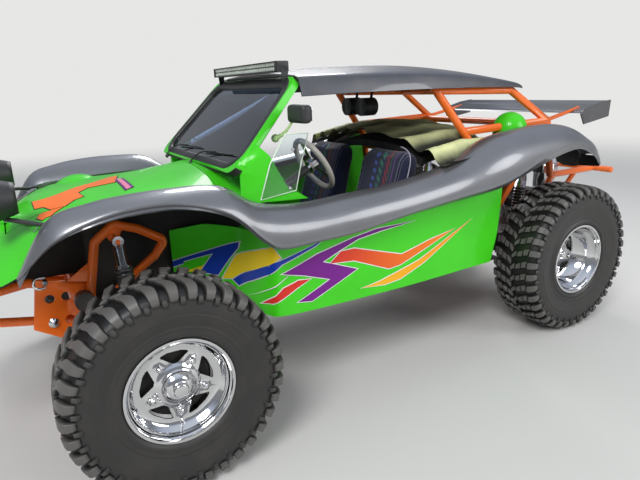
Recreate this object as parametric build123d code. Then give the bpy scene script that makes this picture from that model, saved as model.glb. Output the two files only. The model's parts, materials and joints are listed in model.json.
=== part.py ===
from build123d import *
import math
import os

# Dune buggy: open two-seater with a moulded shell body, twin-tube front beam and rear engine.
# Millimetres. The car faces -Y, its left side is +X and +Z is up.
# Everything is drawn about the front axle line (Y = 0 there), and save() moves each
# piece so that the origin is on the ground at the centre of the car's footprint.

# Overall places
wheelbase = 2420
front_overhang = 850
rear_overhang = 660
overall_length = front_overhang + wheelbase + rear_overhang
axle_shift = front_overhang - overall_length / 2

# Wheels: the tyre's radius is to the tops of its lugs
front_tyre_radius = 420
front_tyre_half = 146
front_rim_half = 119
front_track = 1680
front_dish = 62
rear_tyre_radius = 440
rear_tyre_half = 150
rear_rim_half = 130
rear_track = 1458
rear_dish = 150
flange_radius = 208
seat_radius = 192
well_radius = 168
rim_wall = 6
window_count = 5
lug_count = 30
lug_height = 16
lug_width = 34
lug_lean = 14
lug_flat = 0.7
spindle_radius = 20
running_gap = 0.05
seat_gap = 0.3

# Steering
kingpin_x = front_track / 2 - 200
kingpin_radius = 12
steer_arm = 120
steer_plate = 10
tie_rod_radius = 11
link_pin_radius = 7
pitman_x = 300
steering_wheel_radius = 170
steering_wheel_y = 950
steering_wheel_z = 1095

# Front beam and arms
beam_y = -240
beam_upper_z = 680
beam_lower_z = 530
beam_radius = 30
beam_half = 468
arm_drop = 164
tie_rod_z = beam_upper_z - arm_drop - 18
tower_x = 440
tube = 19
rail_radius = 16
rail_x = 200
bumper_z = 640
bumper_half = 330
stay_x = 300

# Shell
shell = 9
seam = 5
floor_z = 480
floor_thickness = 16

# Cage
cage_radius = 22
hoop_x = 535

low_align = (Align.CENTER, Align.CENTER, Align.MIN)

os.makedirs("parts", exist_ok=True)


def save(name, *shapes):
    """Writes one node, moved to the row frame."""
    solids = [s for shape in shapes for s in shape.solids()]
    export_step(Pos(0, axle_shift, 0) * Compound(children=solids), f"parts/{name}.step")


def mirrored(shape):
    return mirror(shape, about=Plane.YZ)


def rod(start, end, radius):
    """Round bar from one point to another."""
    a, b = Vector(*start), Vector(*end)
    return Plane(origin=a, z_dir=b - a) * Cylinder(radius, (b - a).length, align=low_align)


def bent_tube(points, bend, radius):
    """Tube along straight runs joined by bends of one radius."""
    path = FilletPolyline(*points, radius=bend)
    return sweep(Plane(origin=path @ 0, z_dir=path % 0) * Circle(radius), path=path)


def span(low, high):
    """Box between two corners."""
    size = [b - a for a, b in zip(low, high)]
    return Pos(*low) * Box(*size, align=(Align.MIN, Align.MIN, Align.MIN))


def side_plate(outline, x, thickness):
    """Flat plate whose outline is (y, z) points, from x outwards."""
    plane = Plane(origin=(x, 0, 0), x_dir=(0, 1, 0), z_dir=(1, 0, 0))
    return extrude(plane * make_face(Polyline(*outline, close=True)), thickness)


def cross_bar(x, y, z, radius, length):
    """Round bar along X, centred on a point."""
    return Pos(x, y, z) * Rot(0, 90, 0) * Cylinder(radius, length)


def clear_of(shape, other):
    """What is left of a shape, on its main side, where another piece takes its room."""
    return (shape - other).solids().sort_by(SortBy.VOLUME)[-1]


def circle_of(a, b, c):
    """Centre and radius of the circle through three (x, z) points."""
    d = 2 * (a[0] * (b[1] - c[1]) + b[0] * (c[1] - a[1]) + c[0] * (a[1] - b[1]))
    s = [p[0] ** 2 + p[1] ** 2 for p in (a, b, c)]
    x = (s[0] * (b[1] - c[1]) + s[1] * (c[1] - a[1]) + s[2] * (a[1] - b[1])) / d
    z = (s[0] * (c[0] - b[0]) + s[1] * (a[0] - c[0]) + s[2] * (b[0] - a[0])) / d
    return x, z, math.dist((x, z), a)


def arc_strip(y, a, b, c, thickness):
    """Section across the car at y: an arc through three (x, z) points, with its wall inside."""
    cx, cz, radius = circle_of(a, b, c)
    share = (radius - thickness) / radius
    inner = [(cx + (p[0] - cx) * share, cz + (p[1] - cz) * share) for p in (a, b, c)]
    at = [Vector(p[0], y, p[1]) for p in (a, b, c, *inner)]
    edges = [
        *ThreePointArc(at[0], at[1], at[2]).edges(),
        *Line(at[2], at[5]).edges(),
        *ThreePointArc(at[5], at[4], at[3]).edges(),
        *Line(at[3], at[0]).edges(),
    ]
    return make_face(Wire(edges).edges())


def refined(rows, steps):
    """Adds rows between the given ones, on a smooth curve through them."""
    result = []
    for n in range(len(rows) - 1):
        before, a, b, after = rows[max(n - 1, 0)], rows[n], rows[n + 1], rows[min(n + 2, len(rows) - 1)]
        for step in range(steps):
            t = step / steps
            row = []
            for p, q, r, w in zip(before, a, b, after):
                bend = (2 * p - 5 * q + 4 * r - w) * t ** 2 + (3 * q - p - 3 * r + w) * t ** 3
                row.append(0.5 * (2 * q + (r - p) * t + bend))
            result.append(row)
    return result + [rows[-1]]


# Wheels


def lathe(points):
    """Turned ring from (x, radius) points, about the X axis."""
    return revolve(make_face(Polyline(*points, close=True)), Axis.X)


def rim(rim_half, dish):
    """Steel wheel with its axis along X and its outer face towards +X."""
    lip = rim_half - 8
    bead = rim_half - 34
    well = rim_half - 62
    outer = [
        (rim_half, flange_radius), (lip, flange_radius), (lip, seat_radius),
        (bead, seat_radius), (well, well_radius), (-well, well_radius),
        (-bead, seat_radius), (-lip, seat_radius), (-lip, flange_radius),
        (-rim_half, flange_radius), (-rim_half, flange_radius - 10),
    ]
    inner = [
        (-bead, seat_radius - rim_wall), (-well, well_radius - rim_wall),
        (well, well_radius - rim_wall), (bead, seat_radius - rim_wall),
        (rim_half, flange_radius - 10),
    ]
    body = lathe(outer + inner)
    face = rim_half - dish
    reach = well_radius - rim_wall + 2 if abs(face) <= well else seat_radius - rim_wall + 2
    disc = lathe([
        (face - 7, 40), (face - 7, reach), (face, reach), (face, 92), (face + 12, 74), (face + 12, 40),
    ])
    across = Plane(origin=(face - 20, 0, 0), x_dir=(0, 1, 0), z_dir=(1, 0, 0))
    window = extrude(across * make_face(Polyline(*window_outline, close=True)), 40)
    nut = Pos(face, 0, -106) * Rot(0, 90, 0) * extrude(RegularPolygon(11, 6), 16)
    for step in range(window_count):
        turn = Rot(step * 360 / window_count, 0, 0)
        disc = disc - turn * window + turn * nut
    hub_back = 30 - rim_half
    hub = lathe([
        (hub_back, spindle_radius + running_gap), (hub_back, 62), (face + 14, 62), (face + 34, 46),
        (face + 42, 27), (face + 56, 27), (face + 58, 24), (face + 58, 0), (face + 20, 0),
        (face + 20, spindle_radius + running_gap),
    ])
    return body + disc + hub


# A window of the rim, pointing at the hub: across and outwards
window_outline = [(-9, 90), (9, 90), (54, 124), (48, 131), (26, 138), (-26, 138), (-48, 131), (-54, 124)]


def tread_lug(radius, half):
    """One leaning shoulder lug, from the tread on to the sidewall, at the top of the tyre.
    Its flat top stays inside the tyre's radius at the corners."""
    plane = Plane(origin=(0, lug_width / 2, 0), x_dir=(1, 0, 0), z_dir=(0, -1, 0))
    top = radius - lug_flat
    profile = [
        (half - 106, top), (half - 62, top - 1), (half - 24, top - 10), (half - 4, top - 28),
        (half, top - 48), (half - 22, top - 52), (half - 66, top - lug_height - 8),
        (half - 106, top - lug_height - 6),
    ]
    lug = extrude(plane * make_face(Polyline(*profile, close=True)), lug_width)
    turn = Pos(half - 60, 0, 0) * Rot(0, 0, lug_lean) * Pos(60 - half, 0, 0)
    return turn * lug


def tyre(radius, half, rim_half):
    """Lugged tyre with its axis along X, hollow inside and open towards the rim."""
    base = radius - lug_height
    bead_x = rim_half - 8 - seat_gap
    bore = seat_radius + seat_gap
    side = [
        (bead_x, bore), (bead_x, flange_radius + 2), (rim_half + 8, flange_radius + 12),
        (half - 12, 290), (half - 8, radius - 92), (half - 12, radius - 46), (half - 36, base - 8),
        (half - 66, base),
    ]
    inside = [
        (half - 70, base - 24), (half - 34, radius - 54), (half - 24, radius - 92),
        (half - 28, 270), (bead_x - 14, 225), (bead_x - 14, bore),
    ]
    outer = side + [(-x, r) for x, r in reversed(side)]
    shape = lathe(outer + [(-x, r) for x, r in reversed(inside)] + inside)
    left = tread_lug(radius, half)
    pitch = 360 / lug_count
    lugs = []
    for step in range(lug_count):
        lugs.append(Rot(180 + step * pitch, 0, 0) * left)
        lugs.append(Rot(180 + (step + 0.5) * pitch, 0, 0) * mirrored(left))
    return shape.fuse(*lugs)


def wheels():
    # end, centre x and y, tyre radius, tyre half width, rim half width, dish
    rows = (
        ("front", front_track / 2, 0, front_tyre_radius, front_tyre_half, front_rim_half, front_dish),
        ("rear", rear_track / 2, wheelbase, rear_tyre_radius, rear_tyre_half, rear_rim_half, rear_dish),
    )
    for end, x, y, radius, half, rim_half, dish in rows:
        place = Pos(x, y, radius)
        for part, shape in (("rim", rim(rim_half, dish)), ("tyre", tyre(radius, half, rim_half))):
            save(f"{part}_{end}_left", place * shape)
            save(f"{part}_{end}_right", mirrored(place * shape))


# Front suspension and steering


def eye_height(level):
    return level - arm_drop


def front_arm(level):
    """Trailing arm from the beam end to its kingpin eye, left side."""
    z = eye_height(level)
    collar = cross_bar(beam_half + 26, beam_y, level, beam_radius + 8, 48)
    start, end = Vector(beam_half + 32, beam_y, level), Vector(kingpin_x, 0, z)
    run = Plane(origin=start, x_dir=(1, 0, 0), z_dir=end - start)
    beam = loft([
        run * Rectangle(26, 58),
        run.offset((end - start).length - 22) * Rectangle(26, 22),
    ])
    eye = Pos(kingpin_x, 0, z) * Cylinder(30, 40)
    bore = Pos(kingpin_x, 0, z) * Cylinder(kingpin_radius + running_gap, 80)
    return collar + beam + eye - bore


def front_arms():
    left = [front_arm(level) for level in (beam_upper_z, beam_lower_z)]
    save("front_arms", *left, *[mirrored(a) for a in left])


def knuckle():
    """Steering knuckle with kingpin, spindle and steering arm, left side."""
    top = eye_height(beam_upper_z)
    low = eye_height(beam_lower_z)
    pin = Pos(kingpin_x, 0, (top + low) / 2) * Cylinder(kingpin_radius, top - low + 68)
    caps = Pos(kingpin_x, 0, top + 34) * Cylinder(20, 8) + Pos(kingpin_x, 0, low - 34) * Cylinder(20, 8)
    body = Pos(kingpin_x, 0, (top + low) / 2) * Cylinder(27, top - low - 76)
    hub_x = front_track / 2 + 30 - front_rim_half
    stub_end = front_track / 2 + front_rim_half - front_dish + 14
    start = (kingpin_x, 0, front_tyre_radius)
    spindle = rod(start, (hub_x - 8, 0, front_tyre_radius), 24)
    stub = rod(start, (stub_end, 0, front_tyre_radius), spindle_radius)
    arm_top = tie_rod_z - 13
    arm = span((kingpin_x - 11, -steer_arm, arm_top - steer_plate), (kingpin_x + 11, 0, arm_top))
    arm_end = Pos(kingpin_x, -steer_arm, arm_top - steer_plate / 2) * Cylinder(17, steer_plate)
    link = Pos(kingpin_x, -steer_arm, tie_rod_z) * Cylinder(link_pin_radius, 40)
    return pin + caps + body + spindle + stub + arm + arm_end + link


def knuckles():
    left = knuckle()
    save("knuckle_left", left)
    save("knuckle_right", mirrored(left))


def link_eye(x):
    place = Pos(x, -steer_arm, tie_rod_z)
    return place * Cylinder(18, 24), place * Cylinder(link_pin_radius + running_gap, 50)


def tie_rod():
    bar = cross_bar(0, -steer_arm, tie_rod_z, tie_rod_radius, 2 * kingpin_x)
    bores = []
    for x in (-kingpin_x, pitman_x, kingpin_x):
        eye, bore = link_eye(x)
        bar += eye
        bores.append(bore)
    for bore in bores:
        bar -= bore
    save("tie_rod", bar)


def pitman_arm():
    arm_top = tie_rod_z - 13
    shaft = Pos(pitman_x, 0, arm_top - steer_plate) * Cylinder(14, 90, align=low_align)
    arm = span((pitman_x - 13, -steer_arm, arm_top - steer_plate), (pitman_x + 13, 0, arm_top))
    arm_end = Pos(pitman_x, -steer_arm, arm_top - steer_plate / 2) * Cylinder(17, steer_plate)
    link = Pos(pitman_x, -steer_arm, tie_rod_z) * Cylinder(link_pin_radius, 40)
    save("pitman_arm", shaft + arm + arm_end + link)


def column_line():
    """Lower and upper end of the steering shaft."""
    low = Vector(pitman_x, 40, tie_rod_z + 90)
    high = Vector(pitman_x, steering_wheel_y, steering_wheel_z)
    return low, high


def steering_column():
    low, high = column_line()
    run = (high - low).normalized()
    box_low = tie_rod_z + 30
    box = span((pitman_x - 45, -55, box_low), (pitman_x + 45, 70, beam_upper_z - 22))
    box -= Pos(pitman_x, 0, box_low) * Cylinder(14 + running_gap, 160)
    bracket = span((pitman_x - 30, beam_y, box_low + 60), (pitman_x + 30, -55, beam_upper_z - 22))
    bracket -= cross_bar(pitman_x, beam_y, beam_upper_z, beam_radius + seat_gap, 200)
    end = high - run * 42
    mast = rod(tuple(low), tuple(end), 21)
    mast -= rod(tuple(high - run * 160), tuple(high), 11 + running_gap)
    hanger = span((pitman_x - 20, 640, 900), (pitman_x + 20, 660, 985))
    save("steering_column", box + mast + bracket + hanger)


def steering_wheel():
    low, high = column_line()
    run = (high - low).normalized()
    plane = Plane(origin=high, x_dir=(1, 0, 0), z_dir=run)
    rim_ring = plane * Torus(steering_wheel_radius, 13)
    hub = rod(tuple(high - run * 30), tuple(high + run * 14), 34)
    shaft = rod(tuple(high - run * 150), tuple(high), 11)
    shape = rim_ring + hub + shaft
    for turn in (0, 120, 240):
        spoke = Pos(steering_wheel_radius / 2, 0, 0) * Box(steering_wheel_radius, 30, 6)
        shape += plane * Rot(0, 0, turn - 90) * spoke
    save("steering_wheel", shape)


def front_frame():
    """Beam tubes, drilled end plates, shock towers and the stays of the front bumper."""
    shape = cross_bar(0, beam_y, beam_upper_z, beam_radius, 2 * beam_half)
    shape += cross_bar(0, beam_y, beam_lower_z, beam_radius, 2 * beam_half)
    plate = side_plate([(-438, 572), (-403, 776), (-215, 740), (-205, 480), (-297, 484)], tower_x - 30, 10)
    plate += cross_bar(tower_x - 22, beam_y, beam_upper_z, beam_radius + 22, 16)
    for y, z in plate_holes():
        plate -= cross_bar(tower_x - 25, y, z, plate_hole_radius, 40)
    tower = bent_tube([
        (tower_x, beam_y, beam_lower_z), (tower_x, -165, 900), (tower_x, -85, 965), (tower_x, 10, 930),
        (tower_x, 118, 862), (tower_x, 60, 790),
    ], 22, tube)
    tower += rod((tower_x, 70, 802), (tower_x, -215, 600), tube)
    lug = side_plate([(-140, 945), (-40, 955), (-75, 895), (-105, 895)], tower_x - 5, 10)
    top_pin = rod((tower_x, -90, 915), (tower_x + 118, -90, 915), 9)
    bar_y = tube - front_overhang
    stays = bent_tube([
        (stay_x, beam_y, beam_upper_z), (stay_x, -430, 735), (stay_x, -700, 700), (stay_x, bar_y, bumper_z),
    ], 60, tube)
    stays += rod((stay_x, beam_y, beam_lower_z), (stay_x, bar_y, bumper_z), tube)
    gusset = side_plate([(-290, 757), (-214, 742), (-196, 822)], tower_x - 5, 10)
    for part in (plate, tower, gusset, lug, top_pin, stays):
        shape += part
        shape += mirrored(part)
    rail_z = floor_z - rail_radius - seat_gap
    rails = bent_tube([
        (rail_x, beam_y, beam_lower_z), (rail_x, -200, rail_z), (rail_x, 420, rail_z),
    ], 30, rail_radius)
    shape += rails + mirrored(rails)
    shape -= cross_bar(0, bar_y, bumper_z, tube + seat_gap, 2 * bumper_half)
    save("front_frame", shape)


plate_hole_radius = 19
plate_hole_low = (-362, 586)
plate_hole_step = (62, 102)


def plate_holes():
    """The four holes of each beam end plate, as (y, z)."""
    y, z = plate_hole_low
    dy, dz = plate_hole_step
    return [(y, z), (y + dy, z), (y, z + dz), (y + dy, z + dz)]


def front_bumper():
    y = tube - front_overhang
    bar = bent_tube([
        (bumper_half + 70, y + 130, bumper_z), (bumper_half + 40, y, bumper_z),
        (-bumper_half - 40, y, bumper_z), (-bumper_half - 70, y + 130, bumper_z),
    ], 50, tube)
    save("front_bumper", bar)


def damper(low, high, thin, thick):
    """Shock absorber: dark lower tube, bright upper tube and an eye at each end."""
    a, b = Vector(*low), Vector(*high)
    run = (b - a).normalized()
    length = (b - a).length
    shape = rod(tuple(a + run * 24), tuple(a + run * length * 0.55), thick)
    shape += rod(tuple(a + run * length * 0.5), tuple(b - run * 20), thin)
    shape += cross_bar(*low, 22, 30) + cross_bar(*high, 22, 30)
    shape += rod(tuple(a + run * 12), tuple(a + run * 30), 14)
    shape += rod(tuple(b - run * 30), tuple(b - run * 12), 14)
    return shape


def front_shocks():
    top = (tower_x + 100, -90, 915)
    pin = cross_bar(*top, 9 + seat_gap, 60)
    low = (tower_x + 110, -75, 700)
    left = damper(low, top, 22, 30) - pin
    save("front_shocks", left, mirrored(left))


# Shell body

# Fender band, one row for each station:
# y, inner edge x and z, crown x and z, outer lip x and z
fender_stations = [
    (-455, 610, 845, 660, 872, 705, 862),
    (-335, 575, 1000, 700, 1052, 770, 985),
    (-200, 560, 1030, 730, 1097, 803, 1043),
    (-55, 555, 1040, 740, 1118, 822, 1070),
    (115, 555, 1045, 742, 1121, 825, 1065),
    (300, 565, 1040, 740, 1101, 818, 1000),
    (430, 590, 1008, 726, 1028, 806, 880),
    (520, 600, 980, 712, 1000, 796, 826),
    (700, 602, 966, 706, 985, 790, 826),
    (900, 602, 978, 706, 996, 788, 834),
    (1200, 603, 995, 708, 1015, 792, 872),
    (1500, 606, 1045, 712, 1066, 800, 902),
    (1700, 600, 1128, 716, 1150, 808, 920),
    (1850, 590, 1172, 718, 1195, 814, 945),
    (2050, 580, 1195, 720, 1219, 822, 1008),
    (2250, 575, 1200, 720, 1226, 826, 1068),
    (2420, 580, 1186, 718, 1205, 822, 1088),
    (2560, 588, 1130, 708, 1149, 806, 1040),
    (2650, 596, 1084, 696, 1103, 772, 1000),
    (2725, 604, 1005, 685, 1022, 738, 960),
]


def fender():
    sections = [
        arc_strip(y, (xi, zi), (xc, zc), (xl, zl), shell)
        for y, xi, zi, xc, zc, xl, zl in refined(fender_stations, 2)
    ]
    return loft(sections, ruled=True)


def fenders():
    left = fender()
    save("fender_left", left)
    save("fender_right", mirrored(left))


# Nose and cowl, one row for each station: y, half width, edge z, crown z
nose_stations = [
    (-640, 430, 700, 780),
    (-590, 520, 790, 900),
    (-455, 590, 850, 985),
    (-320, 565, 985, 1040),
    (-100, 545, 1030, 1060),
    (150, 545, 1035, 1088),
    (300, 552, 1032, 1115),
    (430, 578, 1005, 1140),
    (520, 588, 985, 1150),
]
bonnet_front = -470
bonnet_rear = 375
bonnet_half_front = 265
bonnet_half_rear = 430


def nose_skin():
    sections = [
        arc_strip(y, (-half, edge), (0, crown), (half, edge), shell)
        for y, half, edge, crown in refined(nose_stations, 3)
    ]
    return loft(sections, ruled=True)


# Domes of the nose over the front shock towers, left side
dome_centre = (443, -110, 898)
dome_radius = 170
dome_base_z = 1030


def with_domes(skin):
    """The nose skin with a hollow dome raised over each shock tower."""
    x, y, z = dome_centre
    for side in (1, -1):
        place = Pos(side * x, y, z)
        above = Pos(side * x, y, dome_base_z) * Box(400, 400, 200, align=low_align)
        skin = skin + (place * Sphere(dome_radius) & above) - place * Sphere(dome_radius - shell)
    return skin


def bonnet_prism(gap):
    """Upright prism over the bonnet's outline, grown by a gap."""
    outline = [
        (-bonnet_half_front - gap, bonnet_front - gap), (bonnet_half_front + gap, bonnet_front - gap),
        (bonnet_half_rear + gap, bonnet_rear + gap), (-bonnet_half_rear - gap, bonnet_rear + gap),
    ]
    return Pos(0, 0, 600) * extrude(make_face(Polyline(*outline, close=True)), 800)


# Side panel in plan, outer face: x and y
panel_plan = [
    (400, 150), (438, 300), (500, 425), (620, 495), (690, 600), (702, 1200), (684, 1600), (664, 1950),
]
panel_wall = 9


def plan_inset(wall):
    """The panel's plan moved inwards by a wall."""
    return [(x - wall, y + wall / 3) for x, y in panel_plan]


def side_panels():
    inner = plan_inset(panel_wall)[::-1]
    prism = extrude(make_face(Polyline(*panel_plan, *inner, close=True)), 1400)
    top = [(60, 880), (300, 905), (430, 880), (520, 850)]
    top += [(y, zc + 30) for y, xi, zi, xc, zc, xl, zl in fender_stations if 600 < y < 1990]
    outline = [(60, floor_z), *top, (1960, 1250), (1990, 860), (1930, 640), (1885, floor_z)]
    trim = side_plate(outline, 300, 500)
    left = clear_of(prism & trim, fender())
    save("side_panel_left", left)
    save("side_panel_right", mirrored(left))


def floor_pan():
    rows = plan_inset(panel_wall + 0.6)
    outline = rows + [(-x, y) for x, y in reversed(rows)]
    pan = Pos(0, 0, floor_z) * extrude(make_face(Polyline(*outline, close=True)), floor_thickness)
    tunnel = Pos(0, 1015, floor_z + floor_thickness) * Box(150, 1850, 120, align=low_align)
    save("floor_pan", pan + tunnel)


# Windscreen, in its raked plane: the bottom and top of the glass as (y, z)
glass_low = Vector(0, 434, 1155)
glass_high = Vector(0, 748, 1486)
glass_half_low = 550
glass_half_high = 468
frame_width = 42
frame_thickness = 34
glass_thickness = 6


def windscreen_plane():
    up = glass_high - glass_low
    return Plane(origin=glass_low, x_dir=(1, 0, 0), z_dir=Vector(1, 0, 0).cross(up)), up.length


def screen_shape(grow, below, above, radius):
    """Rounded trapezium in the windscreen's plane, grown sideways, downwards and upwards."""
    plane, height = windscreen_plane()
    corners = [
        (-glass_half_low - grow, -below), (glass_half_low + grow, -below),
        (glass_half_high + grow, height + above), (-glass_half_high - grow, height + above),
    ]
    face = make_face(Polyline(*corners, close=True))
    return (plane * fillet(face.vertices(), radius)).faces()[0]


def slab(face, low, high):
    """Extrudes a face between two depths along its normal."""
    return extrude(face.moved(Location(face.normal_at() * low)), high - low)


def windscreen():
    glass = slab(screen_shape(-1, -1, -1, 84), -glass_thickness / 2, glass_thickness / 2)
    save("windscreen", glass)


def screen_frame():
    half = frame_thickness / 2
    frame = slab(screen_shape(frame_width, frame_width, frame_width, 60), -half, half)
    return frame - slab(screen_shape(0, 0, 0, 85), -half - 1, half + 1)


pillar_foot = [(440, 1000), (760, 985), (650, 1060), (575, 1200), (520, 1250), (470, 1190), (440, 1130)]
pillar_foot_x = 560
pillar_foot_wall = 22
hinge_y = bonnet_front - seam
hinge_z = 980
hinge_x = 150
hinge_pin = 4


def bonnet_hinge():
    """Lugs and pin on the nose, and the strap and barrel on the bonnet, left side."""
    pin = cross_bar(hinge_x, hinge_y, hinge_z, hinge_pin, 60)
    lugs = pin
    for x in (hinge_x - 27, hinge_x + 17):
        lugs += span((x, hinge_y - 26, hinge_z - 40), (x + 10, hinge_y + 1, hinge_z + 9))
    bore = cross_bar(hinge_x, hinge_y, hinge_z, hinge_pin + running_gap, 60)
    strap = cross_bar(hinge_x, hinge_y, hinge_z, 9, 28)
    strap += span((hinge_x - 14, hinge_y, hinge_z - 6), (hinge_x + 14, hinge_y + 60, hinge_z + 3))
    return lugs, strap - bore


def nose_moulding():
    """Nose with the windscreen surround and its wide lower pillars."""
    foot = side_plate(pillar_foot, pillar_foot_x, pillar_foot_wall)
    lugs = bonnet_hinge()[0]
    shape = with_domes(nose_skin()) - bonnet_prism(seam)
    for part in (screen_frame(), foot, mirrored(foot), lugs, mirrored(lugs)):
        shape += part
    return shape


def front_shell():
    skin = nose_skin()
    strap = bonnet_hinge()[1]
    save("bonnet", (skin & bonnet_prism(0)) + strap + mirrored(strap))
    save("nose", nose_moulding())


def dash():
    panel = span((-540, 640, 985), (540, 652, 1105)) + span((-540, 520, 1093), (540, 652, 1105))
    save("dash", panel)


def deflectors():
    x = pillar_foot_x + pillar_foot_wall + seat_gap
    pane = side_plate([(521, 1008), (697, 1030), (728, 1151), (771, 1282), (656, 1286), (575, 1160)], x, 5)
    save("deflectors", pane, mirrored(pane))


# Roof, one row for each station: y, half width, edge z, shoulder z, crown z
roof_stations = [
    (775, 536, 1442, 1530, 1556),
    (1000, 542, 1447, 1532, 1576),
    (1300, 548, 1450, 1534, 1586),
    (1600, 552, 1451, 1528, 1586),
    (1900, 546, 1447, 1504, 1560),
    (2165, 533, 1440, 1468, 1511),
    (2232, 522, 1434, 1448, 1478),
]
roof_wall = 8


def roof_section(y, half, edge, shoulder, crown, wall):
    lean = (shoulder - edge) * 0.35
    outer = [(-half, edge), (lean - half, shoulder), (0, crown), (half - lean, shoulder), (half, edge)]
    inner = [(half - wall, edge), (half - lean - wall, shoulder - wall), (0, crown - wall),
             (lean + wall - half, shoulder - wall), (wall - half, edge)]
    at = [Vector(x, y, z) for x, z in outer + inner]
    edges = [
        *Line(at[0], at[1]).edges(), *ThreePointArc(at[1], at[2], at[3]).edges(),
        *Line(at[3], at[4]).edges(), *Line(at[4], at[5]).edges(), *Line(at[5], at[6]).edges(),
        *ThreePointArc(at[6], at[7], at[8]).edges(), *Line(at[8], at[9]).edges(), *Line(at[9], at[0]).edges(),
    ]
    return make_face(Wire(edges).edges())


def roof_inside(y, x):
    """Height of the roof's inner face at a station."""
    half, edge, shoulder, crown = next(row[1:] for row in roof_stations if row[0] == y)
    reach = half - (shoulder - edge) * 0.35 - roof_wall
    low, high = shoulder - roof_wall, crown - roof_wall
    cx, cz, radius = circle_of((-reach, low), (0, high), (reach, low))
    return cz + math.sqrt(radius ** 2 - x ** 2)


def hard_top():
    save("hard_top", loft([roof_section(*row, roof_wall) for row in refined(roof_stations, 3)], ruled=True))


# Roll cage
cage_foot = (wheelbase + 32, 1235)
cage_tops = (1600, 1440)
stay_top = (2165, 1424)
post_slope = 4.4
cage_top_x = 492
floor_top = floor_z + floor_thickness
cage_rail = ((hoop_x - 6, 1785, 1215), (hoop_x, *cage_foot))


def cage_tubes():
    base = floor_top + seat_gap
    leg = [(hoop_x, 1880, base), (hoop_x, 1880, 800), (hoop_x, 1840, 1130), (cage_top_x, *cage_tops)]
    top = [(cage_top_x - 60, cage_tops[0], 1492)]
    half = leg + top
    hoop = bent_tube(half + [(-x, y, z) for x, y, z in reversed(half)], 42, cage_radius)
    side = rod((cage_top_x, *cage_tops), (cage_top_x, *stay_top), cage_radius)
    side += rod((cage_top_x, *stay_top), (hoop_x, *cage_foot), cage_radius)
    side += rod(*cage_rail, cage_radius)
    side += rod((hoop_x, *cage_foot), rear_rail[0], cage_radius)
    side += rod((hoop_x, *cage_foot), (440, torsion_y + 10, torsion_z + 40), cage_radius)
    foot_y, foot_z = cage_foot
    gusset = [(-92, -15), (18, 22), (48, -60), (-42, -75)]
    side += side_plate([(foot_y + y, foot_z + z) for y, z in gusset], hoop_x - 5, 10)
    side -= rod(*rear_rail, rear_tube + seat_gap)
    side -= cross_bar(440, torsion_y, torsion_z, torsion_radius + seat_gap, 300)
    for y, z in ((cage_tops[0], 1492), stay_top):
        post_top = roof_inside(y, 400) - seat_gap - post_slope
        side += Pos(400, y, z) * Cylinder(14, post_top - z, align=low_align)
    cage = hoop + side + mirrored(side)
    for y, z in (stay_top, (foot_y - 52, foot_z - 16), (1850, 1060)):
        half_length = cage_top_x if y == stay_top[0] else hoop_x
        cage += cross_bar(0, y, z, cage_radius, 2 * half_length)
    tab = side_plate([
        (rear_shock_y - 25, 1222), (rear_shock_y + 25, 1222),
        (rear_shock_y + 20, shock_top_z - 20), (rear_shock_y - 20, shock_top_z - 20),
    ], rear_shock_x - 34, 8)
    pin = cross_bar(rear_shock_x, rear_shock_y, shock_top_z, shock_pin_radius, 60)
    strut = clear_of(rod((hoop_x - 5, foot_y - 12, foot_z), (hoop_x - 20, wing_y + 10, 1296), 12), wing())
    for part in (tab, pin, strut):
        cage += part
        cage += mirrored(part)
    return cage


# Rear frame and bumper
bumper_rear_y = wheelbase + rear_overhang - tube
bumper_rear_z = 880
bumper_rear_half = 600
rear_tube = 20
rear_rail = ((475, wheelbase + 180, bumper_rear_z), (465, wheelbase + 640, bumper_rear_z))
torsion_y = wheelbase - 390
torsion_z = 520
torsion_radius = 58
torsion_half = 480
rear_shock_x = 440
rear_shock_y = wheelbase - 20
shock_top_z = 1160
rear_shock_low = (rear_shock_x, wheelbase - 90, 500)
shock_pin_radius = 9
horn_x = 200
horn_y = wheelbase + 140
horn_z = 408
case_front = wheelbase - 310


def rear_frame():
    horn = bent_tube([
        (horn_x, torsion_y - 40, horn_z), (horn_x, horn_y, horn_z), (440, horn_y, horn_z), *rear_rail,
    ], 60, rear_tube)
    horn += rod((462, horn_y + 320, bumper_rear_z), (442, horn_y + 2, 540), 16)
    housing = cross_bar(0, torsion_y, torsion_z, torsion_radius, 2 * torsion_half)
    nose_length = case_front - 0.5 - torsion_y - 40
    nose = Pos(0, torsion_y + 40, crank_z) * Rot(-90, 0, 0) * Cylinder(40, nose_length, align=low_align)
    web = span((horn_x - 12, torsion_y - 40, horn_z), (horn_x + 12, torsion_y + 40, torsion_z))
    horn += web
    frame = housing + nose + horn + mirrored(horn)
    frame -= cross_bar(0, bumper_rear_y, bumper_rear_z, tube + seat_gap, 2 * bumper_rear_half)
    save("rear_frame", frame)


def rear_bumper():
    save("rear_bumper", cross_bar(0, bumper_rear_y, bumper_rear_z, tube, 2 * bumper_rear_half))


def rear_arms():
    plate = side_plate([
        (torsion_y - 55, 480), (torsion_y - 55, 570), (torsion_y + 50, 575), (wheelbase + 40, 512),
        (wheelbase + 50, 408), (wheelbase - 60, 393), (torsion_y + 50, 470),
    ], torsion_half + seat_gap, 12)
    housing = cross_bar(545, wheelbase, rear_tyre_radius, 58, 110)
    bore = cross_bar(545, wheelbase, rear_tyre_radius, 24, 400)
    x, y, z = rear_shock_low
    pin = cross_bar((x - 18 + torsion_half + 2) / 2, y, z, shock_pin_radius, torsion_half + 2 - x + 18)
    left = plate + housing + pin - bore
    save("rear_arms", left, mirrored(left))


def rear_shocks():
    """Rear dampers between the cage's tabs and the spring plates."""
    low = rear_shock_low
    top = (rear_shock_x, rear_shock_y, shock_top_z)
    left = damper(low, top, 24, 34)
    for eye in (low, top):
        left -= cross_bar(*eye, shock_pin_radius + seat_gap, 60)
    save("rear_shocks", left, mirrored(left))


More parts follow.
